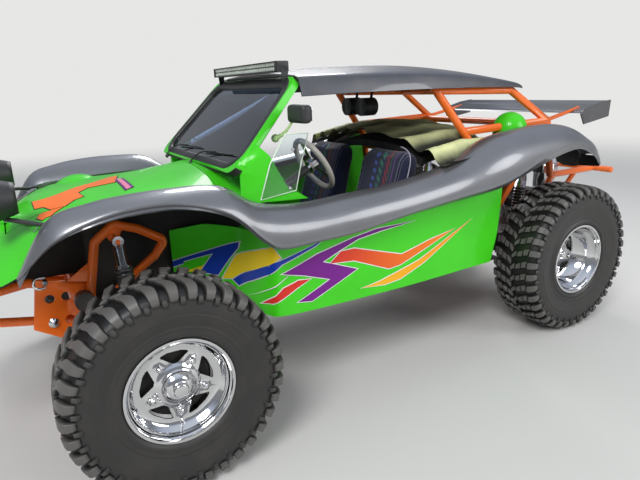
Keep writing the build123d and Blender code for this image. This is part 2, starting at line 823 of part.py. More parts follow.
def drive_train():
    """Transaxle with its half shafts and the stub axles that carry the rear wheels."""
    # y, centre z and radius of each section
    sections = (
        (case_front, crank_z, 62),
        (wheelbase - 160, axle_z, 95),
        (wheelbase + 60, axle_z, 130),
        (engine_y - flywheel_face - seat_gap, crank_z, 150),
    )
    case = loft([Plane(origin=(0, y, z), z_dir=(0, 1, 0)) * Circle(radius) for y, z, radius in sections])
    shape = case + cross_bar(0, wheelbase, axle_z, 88, 300)
    inner, outer = (140, wheelbase, axle_z), (480, wheelbase, rear_tyre_radius)
    shaft = rod(inner, outer, 16)
    for share, turn in ((0.09, 1), (0.86, -1)):
        at = [a + (b - a) * share for a, b in zip(inner, outer)]
        shaft += Pos(*at) * Rot(0, 90 * turn, 0) * Cone(52, 34, 60)
    stub_end = rear_track / 2 + rear_rim_half - rear_dish + 14
    shaft += cross_bar((470 + stub_end) / 2, wheelbase, rear_tyre_radius, spindle_radius, stub_end - 470)
    save("transaxle", shape + shaft + mirrored(shaft))


# Engine: flat four behind the transaxle
engine_y = wheelbase + 340
crank_z = 500
axle_z = crank_z - 10
flywheel_face = 168


def engine():
    case = Pos(0, engine_y, crank_z) * Box(200, 330, 220)
    case += Pos(0, engine_y - flywheel_face + 8, crank_z) * Rot(90, 0, 0) * Cylinder(168, 16)
    shape = case
    for y in (engine_y - 75, engine_y + 65):
        barrel = cross_bar(175, y, crank_z + 15, 50, 160)
        for n in range(5):
            barrel += cross_bar(125 + 25 * n, y, crank_z + 15, 62, 8)
        shape += barrel + mirrored(barrel)
    head = span((250, engine_y - 155, crank_z - 60), (330, engine_y + 145, crank_z + 95))
    cover = span((330, engine_y - 140, crank_z - 50), (372, engine_y + 130, crank_z + 60))
    shape += head + cover + mirrored(head + cover)
    pulley = Pos(0, engine_y + 185, crank_z) * Rot(90, 0, 0) * Cylinder(86, 22)
    shape += pulley + Pos(0, engine_y + 170, crank_z) * Rot(90, 0, 0) * Cylinder(24, 40)
    stand = Pos(0, engine_y + 60, crank_z + 100) * Cylinder(34, 180, align=low_align)
    save("engine", shape + stand)


def fan_shroud():
    y = engine_y - 75
    body = Pos(0, y, crank_z + 290) * Rot(90, 0, 0) * Cylinder(180, 120)
    low = span((-372, y - 62, crank_z + 112), (372, y + 60, crank_z + 250))
    save("fan_shroud", body + low - Pos(0, y - 60, crank_z + 290) * Rot(90, 0, 0) * Cylinder(90, 40))


def air_cleaners():
    pieces = []
    for side in (1, -1):
        port = (side * 290, engine_y + 70, crank_z + 102)
        runner = rod(port, (side * 250, engine_y + 80, crank_z + 250), 24)
        carb = Pos(side * 250, engine_y + 80, crank_z + 300) * Box(90, 120, 110)
        can = Pos(side * 250, engine_y + 80, crank_z + 400) * Cylinder(85, 90)
        pieces.append(runner + carb + can)
    save("air_cleaners", *pieces)


def exhaust():
    shape = cross_bar(0, engine_y + 225, crank_z - 150, 48, 420)
    for side in (1, -1):
        for y in (engine_y - 75, engine_y + 65):
            shape += bent_tube([
                (side * 290, y, crank_z - 60 - seat_gap), (side * 290, y, crank_z - 140),
                (side * 150, engine_y + 225, crank_z - 150),
            ], 30, 17)
    shape += bent_tube([
        (150, engine_y + 225, crank_z - 150), (150, engine_y + 295, crank_z - 150),
        (150, engine_y + 295, crank_z - 20),
    ], 30, 26)
    save("exhaust", shape)


# Rear wing
wing_y = wheelbase + 340
wing_half = 600
wing_section = [(-87, 1268), (-55, 1288), (60, 1318), (200, 1334), (200, 1324), (60, 1302), (-55, 1270)]
wing_end = [(-88, 1264), (-60, 1292), (84, 1326), (200, 1338), (192, 1236), (-50, 1200)]


def wing():
    blade = side_plate([(wing_y + y, z) for y, z in wing_section], -wing_half, 2 * wing_half)
    end = side_plate([(wing_y + y, z) for y, z in wing_end], wing_half - 1, 8)
    return blade + end + mirrored(end)


# Round dome of the deck that the cage's rail passes through, left side
rear_dome_centre = (530, 2135, 1209)
rear_dome_radius = 95
rear_dome_drop = 44
rear_dome_wall = 7


def upright_dome(radius):
    """Half ball on a short round wall, about the ball's centre."""
    wall = Pos(0, 0, -rear_dome_drop) * Cylinder(radius, rear_dome_drop, align=low_align)
    return wall + (Sphere(radius) & Box(2 * radius, 2 * radius, radius, align=low_align))


def rear_deck():
    """Side shelves of the rear deck; the left one has a round dome."""
    shelf = loft([
        arc_strip(y, (340, z - 48), (470, z - 36), (598, z + 8), 7)
        for y, z in ((2020, 1178), (2190, 1188), (2360, 1184))
    ])
    hollow = upright_dome(rear_dome_radius) - upright_dome(rear_dome_radius - rear_dome_wall)
    dome = Pos(*rear_dome_centre) * hollow
    rail = rod(*cage_rail, cage_radius + seat_gap)
    left = clear_of(shelf + dome - rail, fender())
    right = mirrored(clear_of(shelf - rail, fender()))
    save("rear_deck", left, right)


# Interior


def seat(side):
    outline = [
        (950, 560), (960, 690), (1240, 660), (1395, 1120), (1440, 1155), (1485, 1120),
        (1400, 740), (1330, 560),
    ]
    left = side_plate(outline, 84, 456)
    left = fillet(left.edges().filter_by(Axis.X), 24)
    for x in (120, 470):
        left += span((x, 990, floor_top + seat_gap), (x + 30, 1290, 562))
    return left


def seats():
    left = seat(1)
    save("seat_left", left)
    save("seat_right", mirrored(left))


def rear_cover():
    """Loose cover over the space behind the seats."""
    body = loft([
        arc_strip(y, (-500, low), (0, high), (500, low), 40)
        for y, low, high in ((1510, 1090, 1160), (1700, 1121, 1190), (1880, 1118.8, 1180))
    ])
    save("rear_cover", body)


def pods(cage):
    pieces = []
    for x in (-60, -220):
        pod = Pos(x, 1540, 1352) * Rot(90, 0, 0) * Cylinder(54, 90)
        pieces.append(clear_of(pod + rod((x, 1560, 1352), (x, 1590, 1485), 8), cage))
    save("speaker_pods", *pieces)


# Lamps and mirror


def light_bar():
    shape = span((-420, 712, 1552), (420, 768, 1600))
    bracket = side_plate([(730, 1575), (766, 1575), (766, 1529.5), (763, 1527.5), (738, 1501)], 418, 6)
    bracket = clear_of(bracket, screen_frame())
    save("light_bar", shape + bracket + mirrored(bracket))


def lamps():
    bowl = Pos(400, -465, 1110) * Rot(90, 0, 0) * Cone(60, 92, 110)
    bracket = rod((400, -465, 1035), (500, -330, 1010), 9)
    bracket += Pos(500, -325, 985) * Cylinder(20, 34, align=low_align)
    left = bowl + clear_of(bracket, nose_skin())
    save("lamps", left, mirrored(left))


def mirror_head():
    head = span((585, 665, 1333), (735, 717, 1411))
    head = fillet(head.edges().filter_by(Axis.Y), 24)
    arm = rod((520, 655, 1385), (640, 690, 1380), 8)
    save("mirror", head + clear_of(arm, screen_frame()))


if __name__ == "__main__":
    wheels()
    front_arms()
    knuckles()
    tie_rod()
    pitman_arm()
    steering_column()
    steering_wheel()
    front_frame()
    front_bumper()
    front_shocks()
    fenders()
    front_shell()
    side_panels()
    floor_pan()
    windscreen()
    dash()
    deflectors()
    hard_top()
    cage = cage_tubes()
    save("roll_cage", cage)
    rear_frame()
    rear_bumper()
    rear_arms()
    rear_shocks()
    drive_train()
    engine()
    fan_shroud()
    air_cleaners()
    exhaust()
    save("rear_wing", wing())
    rear_deck()
    seats()
    rear_cover()
    pods(cage)
    light_bar()
    lamps()
    mirror_head()
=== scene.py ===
import bmesh
import bpy
import json
import math
from mathutils import Matrix, Vector
from mathutils.bvhtree import BVHTree
from mathutils.geometry import tessellate_polygon

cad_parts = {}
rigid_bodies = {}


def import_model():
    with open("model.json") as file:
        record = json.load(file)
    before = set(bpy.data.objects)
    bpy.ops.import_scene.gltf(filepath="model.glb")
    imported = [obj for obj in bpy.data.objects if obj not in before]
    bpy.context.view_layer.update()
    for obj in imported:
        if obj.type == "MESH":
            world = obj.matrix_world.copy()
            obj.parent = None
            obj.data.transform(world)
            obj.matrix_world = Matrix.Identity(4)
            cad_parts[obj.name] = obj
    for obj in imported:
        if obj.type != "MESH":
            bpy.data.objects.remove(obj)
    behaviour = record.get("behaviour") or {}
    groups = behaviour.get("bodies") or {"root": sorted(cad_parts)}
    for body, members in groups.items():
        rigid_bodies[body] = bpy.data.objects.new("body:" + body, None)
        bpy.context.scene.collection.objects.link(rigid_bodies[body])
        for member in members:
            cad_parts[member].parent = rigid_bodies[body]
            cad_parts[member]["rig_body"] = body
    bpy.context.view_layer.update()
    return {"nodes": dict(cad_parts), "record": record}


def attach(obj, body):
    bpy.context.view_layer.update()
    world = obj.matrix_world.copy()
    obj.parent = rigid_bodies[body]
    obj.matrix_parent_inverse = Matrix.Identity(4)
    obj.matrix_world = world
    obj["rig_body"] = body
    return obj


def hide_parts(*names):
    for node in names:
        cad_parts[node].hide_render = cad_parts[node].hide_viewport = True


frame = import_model()
nodes = frame["nodes"]
print("frame loaded:", len(nodes), "nodes")

# stations and outlines below count y from the front axle, which lies this far ahead of the row's origin (m)
axleY = -1.115


# Camera, floor and light


def camera():
    # found from the wheels' ellipses and the roof's and sill's vanishing points
    view = {"place": (2.732, -0.396 + axleY, 1.48), "yaw": 29.38, "pitch": 15.98, "roll": 2.03, "focal": 535}
    yaw, pitch, roll = (math.radians(view[k]) for k in ("yaw", "pitch", "roll"))
    ahead = Vector((-math.cos(yaw) * math.cos(pitch), math.sin(yaw) * math.cos(pitch), -math.sin(pitch)))
    level = ahead.cross(Vector((0, 0, 1))).normalized()
    down = ahead.cross(level)
    right = math.cos(roll) * level + math.sin(roll) * down
    below = -math.sin(roll) * level + math.cos(roll) * down
    data = bpy.data.cameras.new("photoCamera")
    data.sensor_width = 36
    data.lens = view["focal"] / 640 * data.sensor_width
    cam = bpy.data.objects.new("photoCamera", data)
    cam.matrix_world = Matrix((
        (right.x, -below.x, -ahead.x, view["place"][0]),
        (right.y, -below.y, -ahead.y, view["place"][1]),
        (right.z, -below.z, -ahead.z, view["place"][2]),
        (0, 0, 0, 1),
    ))
    bpy.context.scene.collection.objects.link(cam)
    bpy.context.scene.camera = cam


backdropColour = (0.80, 0.80, 0.79, 1)


def linked(name, data):
    obj = bpy.data.objects.new(name, data)
    bpy.context.scene.collection.objects.link(obj)
    return obj


def adder(tree):
    # gives the function that adds a node to the tree and sets its inputs or joins them to other nodes
    def add(kind, inputs=(), **settings):
        node = tree.nodes.new(kind)
        for key, value in settings.items():
            setattr(node, key, value)
        for key, value in dict(inputs).items():
            if isinstance(value, bpy.types.NodeSocket):
                tree.links.new(value, node.inputs[key])
            else:
                node.inputs[key].default_value = value
        return node

    return add


def nodeTree(owner):
    # the same for the emptied tree of a material or a world
    owner.use_nodes = True
    owner.node_tree.nodes.clear()
    return adder(owner.node_tree)


def ramp(add, value, stops):
    # a colour for each value, from (position, colour) stops
    node = add("ShaderNodeValToRGB", {0: value})
    elements = node.color_ramp.elements
    while len(elements) < len(stops):
        elements.new(0.5)
    for element, (position, colour) in zip(elements, stops):
        element.position = position
        element.color = (*colour, 1)
    return node.outputs[0]


def mapped(add, value, start, end, low, high):
    # carries the values from start to end over to those from low to high
    ends = {"From Min": start, "From Max": end, "To Min": low, "To Max": high}
    return add("ShaderNodeMapRange", {"Value": value, **ends}).outputs["Result"]


def mixed(add, share, first, second, **settings):
    return add("ShaderNodeMix", {0: share, 6: first, 7: second}, data_type="RGBA", **settings).outputs[2]


def noise(add, place, scale, **more):
    return add("ShaderNodeTexNoise", {"Scale": scale, "Vector": place, **more}).outputs["Fac"]


def bumped(add, height, strength, depth):
    return add("ShaderNodeBump", {"Strength": strength, "Distance": depth, "Height": height}).outputs[0]


def world():
    # the object is lit by this dome, and the camera, metal and glass see a paler backdrop
    light = {"dome": 0.55, "low": (0.62, 0.64, 0.66), "high": (0.86, 0.90, 0.96)}
    # what metal and gloss see, by height: a grey band behind the object, pale above
    seenBands = ((0.0, (0.55, 0.55, 0.55)), (0.04, (0.30, 0.31, 0.32)), (0.38, (0.26, 0.28, 0.32)),
                 (0.62, (0.56, 0.63, 0.78)), (1.0, (0.80, 0.86, 0.96)))
    data = bpy.data.worlds.new("studio")
    bpy.context.scene.world = data
    add = nodeTree(data)
    place = add("ShaderNodeTexCoord").outputs["Generated"]
    height = add("ShaderNodeSeparateXYZ", {0: place}).outputs["Z"]
    sky = ramp(add, height, ((0.0, light["low"]), (0.5, light["high"])))
    dome = add("ShaderNodeBackground", {"Color": sky, "Strength": light["dome"]})
    mirror = add("ShaderNodeBackground", {"Color": ramp(add, height, seenBands)})
    seen = add("ShaderNodeBackground", {"Color": backdropColour})
    ray = add("ShaderNodeLightPath").outputs
    bright = add("ShaderNodeMath", {0: ray["Is Glossy Ray"], 1: ray["Is Transmission Ray"]}, operation="MAXIMUM")
    first = add("ShaderNodeMixShader", {0: bright.outputs[0], 1: dome.outputs[0], 2: mirror.outputs[0]})
    second = add("ShaderNodeMixShader", {0: ray["Is Camera Ray"], 1: first.outputs[0], 2: seen.outputs[0]})
    add("ShaderNodeOutputWorld", {0: second.outputs[0]})


def lamps():
    rows = (  # name, place, aim, size, watts
        ("keyLamp", (4.5, -4.5, 6.0), (0.2, -0.6, 0.6), 3.2, 430),
        ("fillLamp", (5.5, 4.0, 3.2), (0.3, 0.6, 0.7), 3.5, 190),
        ("backLamp", (-4.5, 2.0, 5.0), (0, 0, 0.8), 3.0, 230),
    )
    for name, place, aim, size, watts in rows:
        data = bpy.data.lights.new(name, "AREA")
        data.shape, data.size, data.energy = "DISK", size, watts
        lamp = linked(name, data)
        lamp.location = place
        lamp.rotation_euler = (Vector(aim) - Vector(place)).to_track_quat("-Z", "Y").to_euler()


def floor():
    # a pale disc that fades into the backdrop far away
    disc = {"radius": 60, "near": 5.0, "far": 14.0, "colour": (0.60, 0.595, 0.58)}
    mesh = bpy.data.meshes.new("studioFloor")
    r = disc["radius"]
    mesh.from_pydata([(-r, -r, 0), (r, -r, 0), (r, r, 0), (-r, r, 0)], [], [(0, 1, 2, 3)])
    obj = linked("studioFloor", mesh)
    material = bpy.data.materials.new("floorPaint")
    add = nodeTree(material)
    base = add("ShaderNodeBsdfPrincipled", {"Base Color": (*disc["colour"], 1), "Roughness": 0.7,
                                            "Specular IOR Level": 0.2})
    glow = add("ShaderNodeEmission", {"Color": backdropColour})
    far = add("ShaderNodeVectorMath", {0: add("ShaderNodeTexCoord").outputs["Object"]}, operation="LENGTH")
    fade = add("ShaderNodeMapRange", {"From Min": disc["near"], "From Max": disc["far"],
                                      "Value": far.outputs["Value"]}, interpolation_type="SMOOTHSTEP")
    mix = add("ShaderNodeMixShader", {0: fade.outputs["Result"], 1: base.outputs[0], 2: glow.outputs[0]})
    add("ShaderNodeOutputMaterial", {0: mix.outputs[0]})
    mesh.materials.append(material)


# Finishes


def newMaterial(name):
    material = bpy.data.materials.new(name)
    return material, nodeTree(material)


def surface(add, inputs):
    base = add("ShaderNodeBsdfPrincipled", inputs)
    add("ShaderNodeOutputMaterial", {0: base.outputs[0]})


def finish(name, look):
    # a paint, metal, plastic or cloth whose tone, gloss and relief vary a little over the surface
    material, add = newMaterial(name)
    place = add("ShaderNodeTexCoord").outputs["Object"]
    patch = noise(add, place, 5.0, Detail=5.0)
    spread = look.get("spread", 0.06)
    dark, pale = ([min(c * share, 1) for c in look["colour"]] for share in (1 - spread, 1 + spread))
    colour = ramp(add, patch, ((0.35, dark), (0.65, pale)))
    if "flake" in look:
        flakes = add("ShaderNodeTexVoronoi", {"Scale": look["flake"], "Vector": place}).outputs["Color"]
        colour = mixed(add, look["flakeShare"], colour, flakes, blend_type="MULTIPLY")
    if "dust" in look:
        colour = mixed(add, mapped(add, patch, 0.42, 0.75, 0, look["dust"]), colour, (0.30, 0.26, 0.20, 1))
    if "fadesTo" in look:  # runs from one colour to another along the car
        y = add("ShaderNodeSeparateXYZ", {0: place}).outputs["Y"]
        share = mapped(add, y, *look["between"], 0, 1)
        colour = mixed(add, share, (*look["colour"], 1), (*look["fadesTo"], 1))
    # painted shade: the canvas turns near black in the low places between its folds
    if "hollow" in look:  # another colour where the piece's own attribute says so
        share = add("ShaderNodeAttribute", attribute_name="hollow").outputs["Fac"]
        colour = mixed(add, share, colour, (*look["hollow"], 1))
    grain = noise(add, place, look.get("grainScale", 160.0), Detail=3.0)
    surface(add, {
        "Base Color": colour, "Metallic": look.get("metallic", 0.0), "Specular IOR Level": look.get("specular", 0.5),
        "Coat Weight": look.get("coat", 0.0), "Coat Roughness": 0.04,
        "Roughness": mapped(add, patch, 0, 1, *look["roughness"]),
        "Normal": bumped(add, grain, look.get("bump", 0.05), look.get("bumpDepth", 0.0004)),
    })
    return material


ink = {"roughness": (0.26, 0.38), "coat": 0.15, "specular": 0.20, "spread": 0.05, "bump": 0.03}
looks = {
    "green_paint": {"colour": (0.050, 0.56, 0.012), "roughness": (0.26, 0.38), "coat": 0.22, "specular": 0.22,
                    "spread": 0.05, "bump": 0.04},
    "silver_paint": {"colour": (0.185, 0.19, 0.205), "roughness": (0.32, 0.44), "metallic": 0.6, "coat": 0.6,
                     "flake": 1800.0, "flakeShare": 0.25, "bump": 0.03},
    "roof_paint": {"colour": (0.085, 0.087, 0.098), "roughness": (0.32, 0.46), "metallic": 0.6, "coat": 0.6,
                   "flake": 1800.0, "flakeShare": 0.3, "bump": 0.03, "dust": 0.10},
    "orange_paint": {"colour": (0.84, 0.145, 0.008), "roughness": (0.28, 0.42), "coat": 0.3, "specular": 0.35,
                     "spread": 0.08, "bump": 0.08, "dust": 0.12},
    "black_steel": {"colour": (0.022, 0.022, 0.024), "roughness": (0.35, 0.6), "coat": 0.2, "spread": 0.2,
                    "bump": 0.15, "dust": 0.16},
    "damper": {"colour": (0.58, 0.60, 0.64), "roughness": (0.14, 0.28), "metallic": 1.0, "dust": 0.08},
    "polished_aluminium": {"colour": (0.72, 0.70, 0.66), "roughness": (0.16, 0.3), "metallic": 1.0},
    "cast_alloy": {"colour": (0.36, 0.36, 0.36), "roughness": (0.4, 0.62), "metallic": 0.9, "bump": 0.5,
                   "bumpDepth": 0.0008, "dust": 0.3},
    "chrome": {"colour": (0.64, 0.64, 0.645), "roughness": (0.03, 0.10), "metallic": 1.0, "spread": 0.03, "bump": 0.01},
    "black_plastic": {"colour": (0.020, 0.020, 0.021), "roughness": (0.42, 0.58), "bump": 0.35, "grainScale": 420.0},
    "black_rubber": {"colour": (0.014, 0.014, 0.015), "roughness": (0.38, 0.55), "bump": 0.2, "dust": 0.08},
    "pale_leather": {"colour": (0.44, 0.41, 0.36), "roughness": (0.42, 0.58), "spread": 0.10, "bump": 0.5,
                     "grainScale": 300.0, "bumpDepth": 0.0006},
    "led_lens": {"colour": (0.62, 0.66, 0.60), "roughness": (0.10, 0.22), "metallic": 0.5, "coat": 1.0, "spread": 0.15},
    "lime_enamel": {"colour": (0.50, 0.72, 0.30), "roughness": (0.20, 0.34), "coat": 0.5, "spread": 0.05},
    # a pale colour for the deflectors' edges, a painted highlight
    "edge_glow": {"colour": (0.70, 0.84, 0.66), "roughness": (0.08, 0.16), "coat": 1.0, "spread": 0.05, "bump": 0.01},
    "undercoat": {"colour": (0.012, 0.012, 0.012), "roughness": (0.75, 0.95), "bump": 0.6, "bumpDepth": 0.001,
                  "dust": 0.12},
    # the canvas's near-black second colour, low between its folds, is painted shade
    "canvas": {"colour": (0.62, 0.65, 0.33), "roughness": (0.62, 0.85), "spread": 0.14, "bump": 0.4,
               "grainScale": 700.0, "bumpDepth": 0.0005, "hollow": (0.014, 0.015, 0.009)},
    "piping": {"colour": (0.34, 0.33, 0.42), "roughness": (0.5, 0.7), "bump": 0.2},
    # flat glossy inks of the painted graphics
    "blueInk": {**ink, "colour": (0.010, 0.045, 0.36)},
    "yellowInk": {**ink, "colour": (0.80, 0.60, 0.02)},
    "purpleInk": {**ink, "colour": (0.16, 0.012, 0.22)},
    "pinkInk": {**ink, "colour": (0.75, 0.22, 0.34)},
    "orangeInk": {**ink, "colour": (0.90, 0.165, 0.006)},
    "silverInk": {**ink, "colour": (0.55, 0.56, 0.58)},
    "whiteInk": {**ink, "colour": (0.72, 0.72, 0.70)},
    "darkInk": {**ink, "colour": (0.025, 0.02, 0.02)},
    "amberInk": {**ink, "colour": (0.80, 0.60, 0.02), "fadesTo": (0.85, 0.30, 0.01), "between": (-0.70, 0.45)},
    "emberInk": {**ink, "colour": (0.62, 0.03, 0.02), "fadesTo": (0.85, 0.22, 0.01), "between": (-0.30, 0.40)},
}
materials = {name: finish(name, look) for name, look in looks.items()}


def glassFinish(name, tint, haze, coat):
    # clear glass with a faint film of dust
    material, add = newMaterial(name)
    film = noise(add, add("ShaderNodeTexCoord").outputs["Object"], 3.0, Detail=6.0)
    surface(add, {
        "Base Color": (*tint, 1), "Transmission Weight": 1.0, "IOR": 1.45, "Coat Weight": coat, "Coat IOR": 1.9,
        "Coat Roughness": 0.02, "Coat Tint": (0.80, 0.88, 1.0, 1), "Roughness": mapped(add, film, 0.4, 0.8, 0, haze),
    })
    return material


def rubberFinish(name):
    # painted highlight as grey on the lugs' tops, painted shade as near black between them, and a dark side wall
    stops = ((0.0, (0.003, 0.003, 0.003)), (0.5, (0.022, 0.021, 0.020)), (0.95, (0.090, 0.086, 0.081)))
    material, add = newMaterial(name)
    lift = add("ShaderNodeAttribute", attribute_name="lift").outputs["Fac"]
    place = add("ShaderNodeTexCoord").outputs["Object"]
    dirt = noise(add, place, 9.0, Detail=6.0)
    dusty = mixed(add, mapped(add, dirt, 0.45, 0.80, 0, 0.16), ramp(add, lift, stops), (0.10, 0.088, 0.072, 1))
    surface(add, {
        "Base Color": dusty, "Specular IOR Level": 0.45, "Roughness": mapped(add, dirt, 0, 1, 0.36, 0.60),
        "Normal": bumped(add, noise(add, place, 260.0), 0.35, 0.0005),
    })
    return material


def seatFabric(name):
    # dark navy cloth; woven stripes run along the seat, placed by the piece's own map: U across, V along
    stripes = (  # middle, half width, colour, period along, share filled, slant
        (0.400, 0.028, (0.045, 0.090, 0.36), 0.044, 0.50, 0.10),
        (0.515, 0.034, (0.020, 0.16, 0.10), 0.044, 0.62, 0.35),
        (0.640, 0.034, (0.26, 0.022, 0.026), 0.040, 0.55, 0.75),
        (0.700, 0.008, (0.035, 0.11, 0.05), 1.0, 1.0, 0.0),
        (0.755, 0.014, (0.10, 0.045, 0.17), 1.0, 1.0, 0.0),
        (0.845, 0.005, (0.17, 0.17, 0.22), 1.0, 1.0, 0.0),
        (0.885, 0.004, (0.12, 0.12, 0.17), 1.0, 1.0, 0.0),
    )
    material, add = newMaterial(name)
    split = add("ShaderNodeSeparateXYZ", {0: add("ShaderNodeUVMap", uv_map="cloth").outputs[0]})
    u, v = split.outputs["X"], split.outputs["Y"]
    spot = add("ShaderNodeTexCoord").outputs["Object"]
    wear = noise(add, spot, 14.0, Detail=5.0)
    colour = ramp(add, wear, ((0.0, (0.008, 0.010, 0.028)), (1.0, (0.018, 0.021, 0.055))))

    def sums(operation, *values):
        return add("ShaderNodeMath", dict(enumerate(values)), operation=operation).outputs[0]

    for middle, half, tint, period, share, slant in stripes:
        off = sums("SUBTRACT", u, middle)
        inside = sums("LESS_THAN", sums("ABSOLUTE", off), half)
        if share < 1:
            phase = sums("FRACT", sums("DIVIDE", sums("MULTIPLY_ADD", off, slant, v), period))
            inside = sums("MULTIPLY", inside, sums("LESS_THAN", phase, share))
        colour = mixed(add, sums("MULTIPLY", inside, 0.85), colour, (*tint, 1))
    threads = add("ShaderNodeTexWave", {"Scale": 150.0, "Distortion": 0.6, "Vector": spot}, wave_type="BANDS",
                  bands_direction="DIAGONAL")
    surface(add, {
        "Base Color": colour, "Roughness": 0.85, "Specular IOR Level": 0.25, "Sheen Weight": 0.35,
        "Sheen Roughness": 0.5, "Normal": bumped(add, threads.outputs["Fac"], 0.4, 0.0006),
    })
    return material


materials["glass"] = glassFinish("glass", (0.86, 0.93, 0.95), 0.04, 0.0)
materials["screen_glass"] = glassFinish("screen_glass", (0.60, 0.74, 0.96), 0.0, 1.0)
materials["tyre"] = rubberFinish("tyre")
materials["seat_fabric"] = seatFabric("seat_fabric")
print("finishes made:", len(materials))


camera()
world()
lamps()
floor()


# Mesh tools


def smoothByAngle(mesh, degrees=32):
    mesh.polygons.foreach_set("use_smooth", [True] * len(mesh.polygons))
    mesh.set_sharp_from_angle(angle=math.radians(degrees))


def meshOf(name, points, faces):
    mesh = bpy.data.meshes.new(name)
    mesh.from_pydata([tuple(p) for p in points], [], faces)
    return mesh


slotOf = {part["node"]: part["material_slot"] for part in frame["record"]["subparts"]}
left = set(nodes)  # nodes that no piece stands for yet


def pieceFrom(name, mesh, body, slot, finishes=(), replaced=()):
    # a finished piece: its mesh, its body, its slot, its finishes and the nodes it stands for
    obj = linked(name, mesh)
    mesh.materials.clear()
    for finishName in finishes or (slot,):
        mesh.materials.append(materials[finishName])
    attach(obj, body)
    if replaced:
        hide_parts(*replaced)
        left.difference_update(replaced)
    return obj


def closeTo(mesh, distance=0.00002):
    # joins loose points into one surface and turns its faces outwards
    work = bmesh.new()
    work.from_mesh(mesh)
    bmesh.ops.remove_doubles(work, verts=work.verts, dist=distance)
    bmesh.ops.recalc_face_normals(work, faces=work.faces)
    work.to_mesh(mesh)
    work.free()
    return mesh


def joined(name, meshes):
    # several meshes as one
    work = bmesh.new()
    for part in meshes:
        work.from_mesh(part)
    mesh = bpy.data.meshes.new(name)
    work.to_mesh(mesh)
    work.free()
    return mesh


def moved(mesh, matrix):
    mesh = mesh.copy()
    mesh.transform(matrix)
    if matrix.determinant() < 0:
        mesh.flip_normals()
    return mesh


axisX, axisZ = Vector((1, 0, 0)), Vector((0, 0, 1))
mirrorX = Matrix.Diagonal((-1, 1, 1, 1))
sides = (("left", Matrix.Identity(4)), ("right", mirrorX))


def facing(mesh, direction):
    # turns a sheet's faces to the side that a direction names
    if sum(f.normal.dot(direction) * f.area for f in mesh.polygons) < 0:
        mesh.flip_normals()
    return mesh


def pointed(origin, direction, mesh):
    # a turned mesh laid from a point along a direction
    turn = Vector(direction).to_track_quat("X", "Z").to_matrix().to_4x4()
    return moved(mesh, Matrix.Translation(Vector(origin)) @ turn)


def bothSides(name, mesh, body, slot, finishes=(), replaced=()):
    # the left piece and its mirror image; a side's name goes where the texts hold {side}
    for side, matrix in sides:
        piece = moved(mesh, matrix)
        pieceFrom(name + side.title(), piece, body.format(side=side), slot, finishes,
                  [node.format(side=side) for node in replaced])


def at(x, y, z):
    # a point given from the front axle, as the tables below are
    return Vector((x, y + axleY, z))


def refined(rows, steps):
    # adds rows between the given ones, on a smooth curve through them
    dense = []
    for n in range(len(rows) - 1):
        around = rows[max(n - 1, 0)], rows[n], rows[n + 1], rows[min(n + 2, len(rows) - 1)]
        for step in range(steps):
            t = step / steps
            dense.append([
                0.5 * (2 * b + (c - a) * t + (2 * a - 5 * b + 4 * c - d) * t**2 + (3 * b - a - 3 * c + d) * t**3)
                for a, b, c, d in zip(*around)
            ])
    return dense + [list(rows[-1])]


def sheetOf(name, rows, closed=False):
    # quads between rows of points
    wide = len(rows[0])
    faces = []
    for r in range(len(rows) - 1):
        for c in range(wide if closed else wide - 1):
            n = (c + 1) % wide
            faces.append((r * wide + c, r * wide + n, (r + 1) * wide + n, (r + 1) * wide + c))
    return meshOf(name, [p for row in rows for p in row], faces)


def turned(name, profile, count=96):
    # a ring turned about the X axis from (x, radius) points; a closed profile makes a closed ring
    rows = []
    for step in range(count):
        angle = 2 * math.pi * step / count
        rows.append([Vector((x, -r * math.sin(angle), r * math.cos(angle))) for x, r in profile])
    rows.append(rows[0])
    return closeTo(sheetOf(name, rows, closed=True))


def evaluated(obj):
    return bpy.data.meshes.new_from_object(obj.evaluated_get(bpy.context.evaluated_depsgraph_get()))


def shaped(data, kind=None, **settings):
    # the mesh of a curve, or of a mesh once a modifier has worked on it
    obj = linked("work", data)
    if kind:
        modifier = obj.modifiers.new("work", kind)
        for key, value in settings.items():
            setattr(modifier, key, value)
    mesh = evaluated(obj)
    bpy.data.objects.remove(obj)
    return mesh


def thickened(mesh, wall, outer="silver_paint"):
    # gives a sheet its wall on the inside; the inner face takes the second finish
    for name in (outer, "undercoat"):
        mesh.materials.append(materials[name])
    result = shaped(mesh, "SOLIDIFY", thickness=wall, offset=-1, material_offset=1)
    smoothByAngle(result, 40)
    return result


def tubeOf(name, points, radius, closed=False, kind="NURBS", sides=12):
    # a round tube on a smooth line through or near the points
    curve = bpy.data.curves.new(name, "CURVE")
    curve.dimensions = "3D"
    curve.bevel_depth = radius
    curve.bevel_resolution = max(1, sides // 4 - 1)
    curve.use_fill_caps = not closed
    spline = curve.splines.new(kind)
    spline.points.add(len(points) - 1)
    for target, point in zip(spline.points, points):
        target.co = (*point, 1)
    spline.use_cyclic_u = closed
    if kind == "NURBS":
        spline.order_u = 3
        spline.use_endpoint_u = not closed
        spline.resolution_u = 6
    mesh = shaped(curve)
    smoothByAngle(mesh, 50)
    return mesh


def softBlock(name, low, high, bevel, segments=3):
    # a block between two corners with rounded edges
    work = bmesh.new()
    bmesh.ops.create_cube(work, size=1.0)
    for v in work.verts:
        v.co = Vector([a + (b - a) * (c + 0.5) for a, b, c in zip(low, high, v.co)])
    bmesh.ops.bevel(work, geom=work.edges[:], offset=bevel, segments=segments, profile=0.6, affect="EDGES")
    mesh = bpy.data.meshes.new(name)
    work.to_mesh(mesh)
    work.free()
    smoothByAngle(mesh, 45)
    return mesh


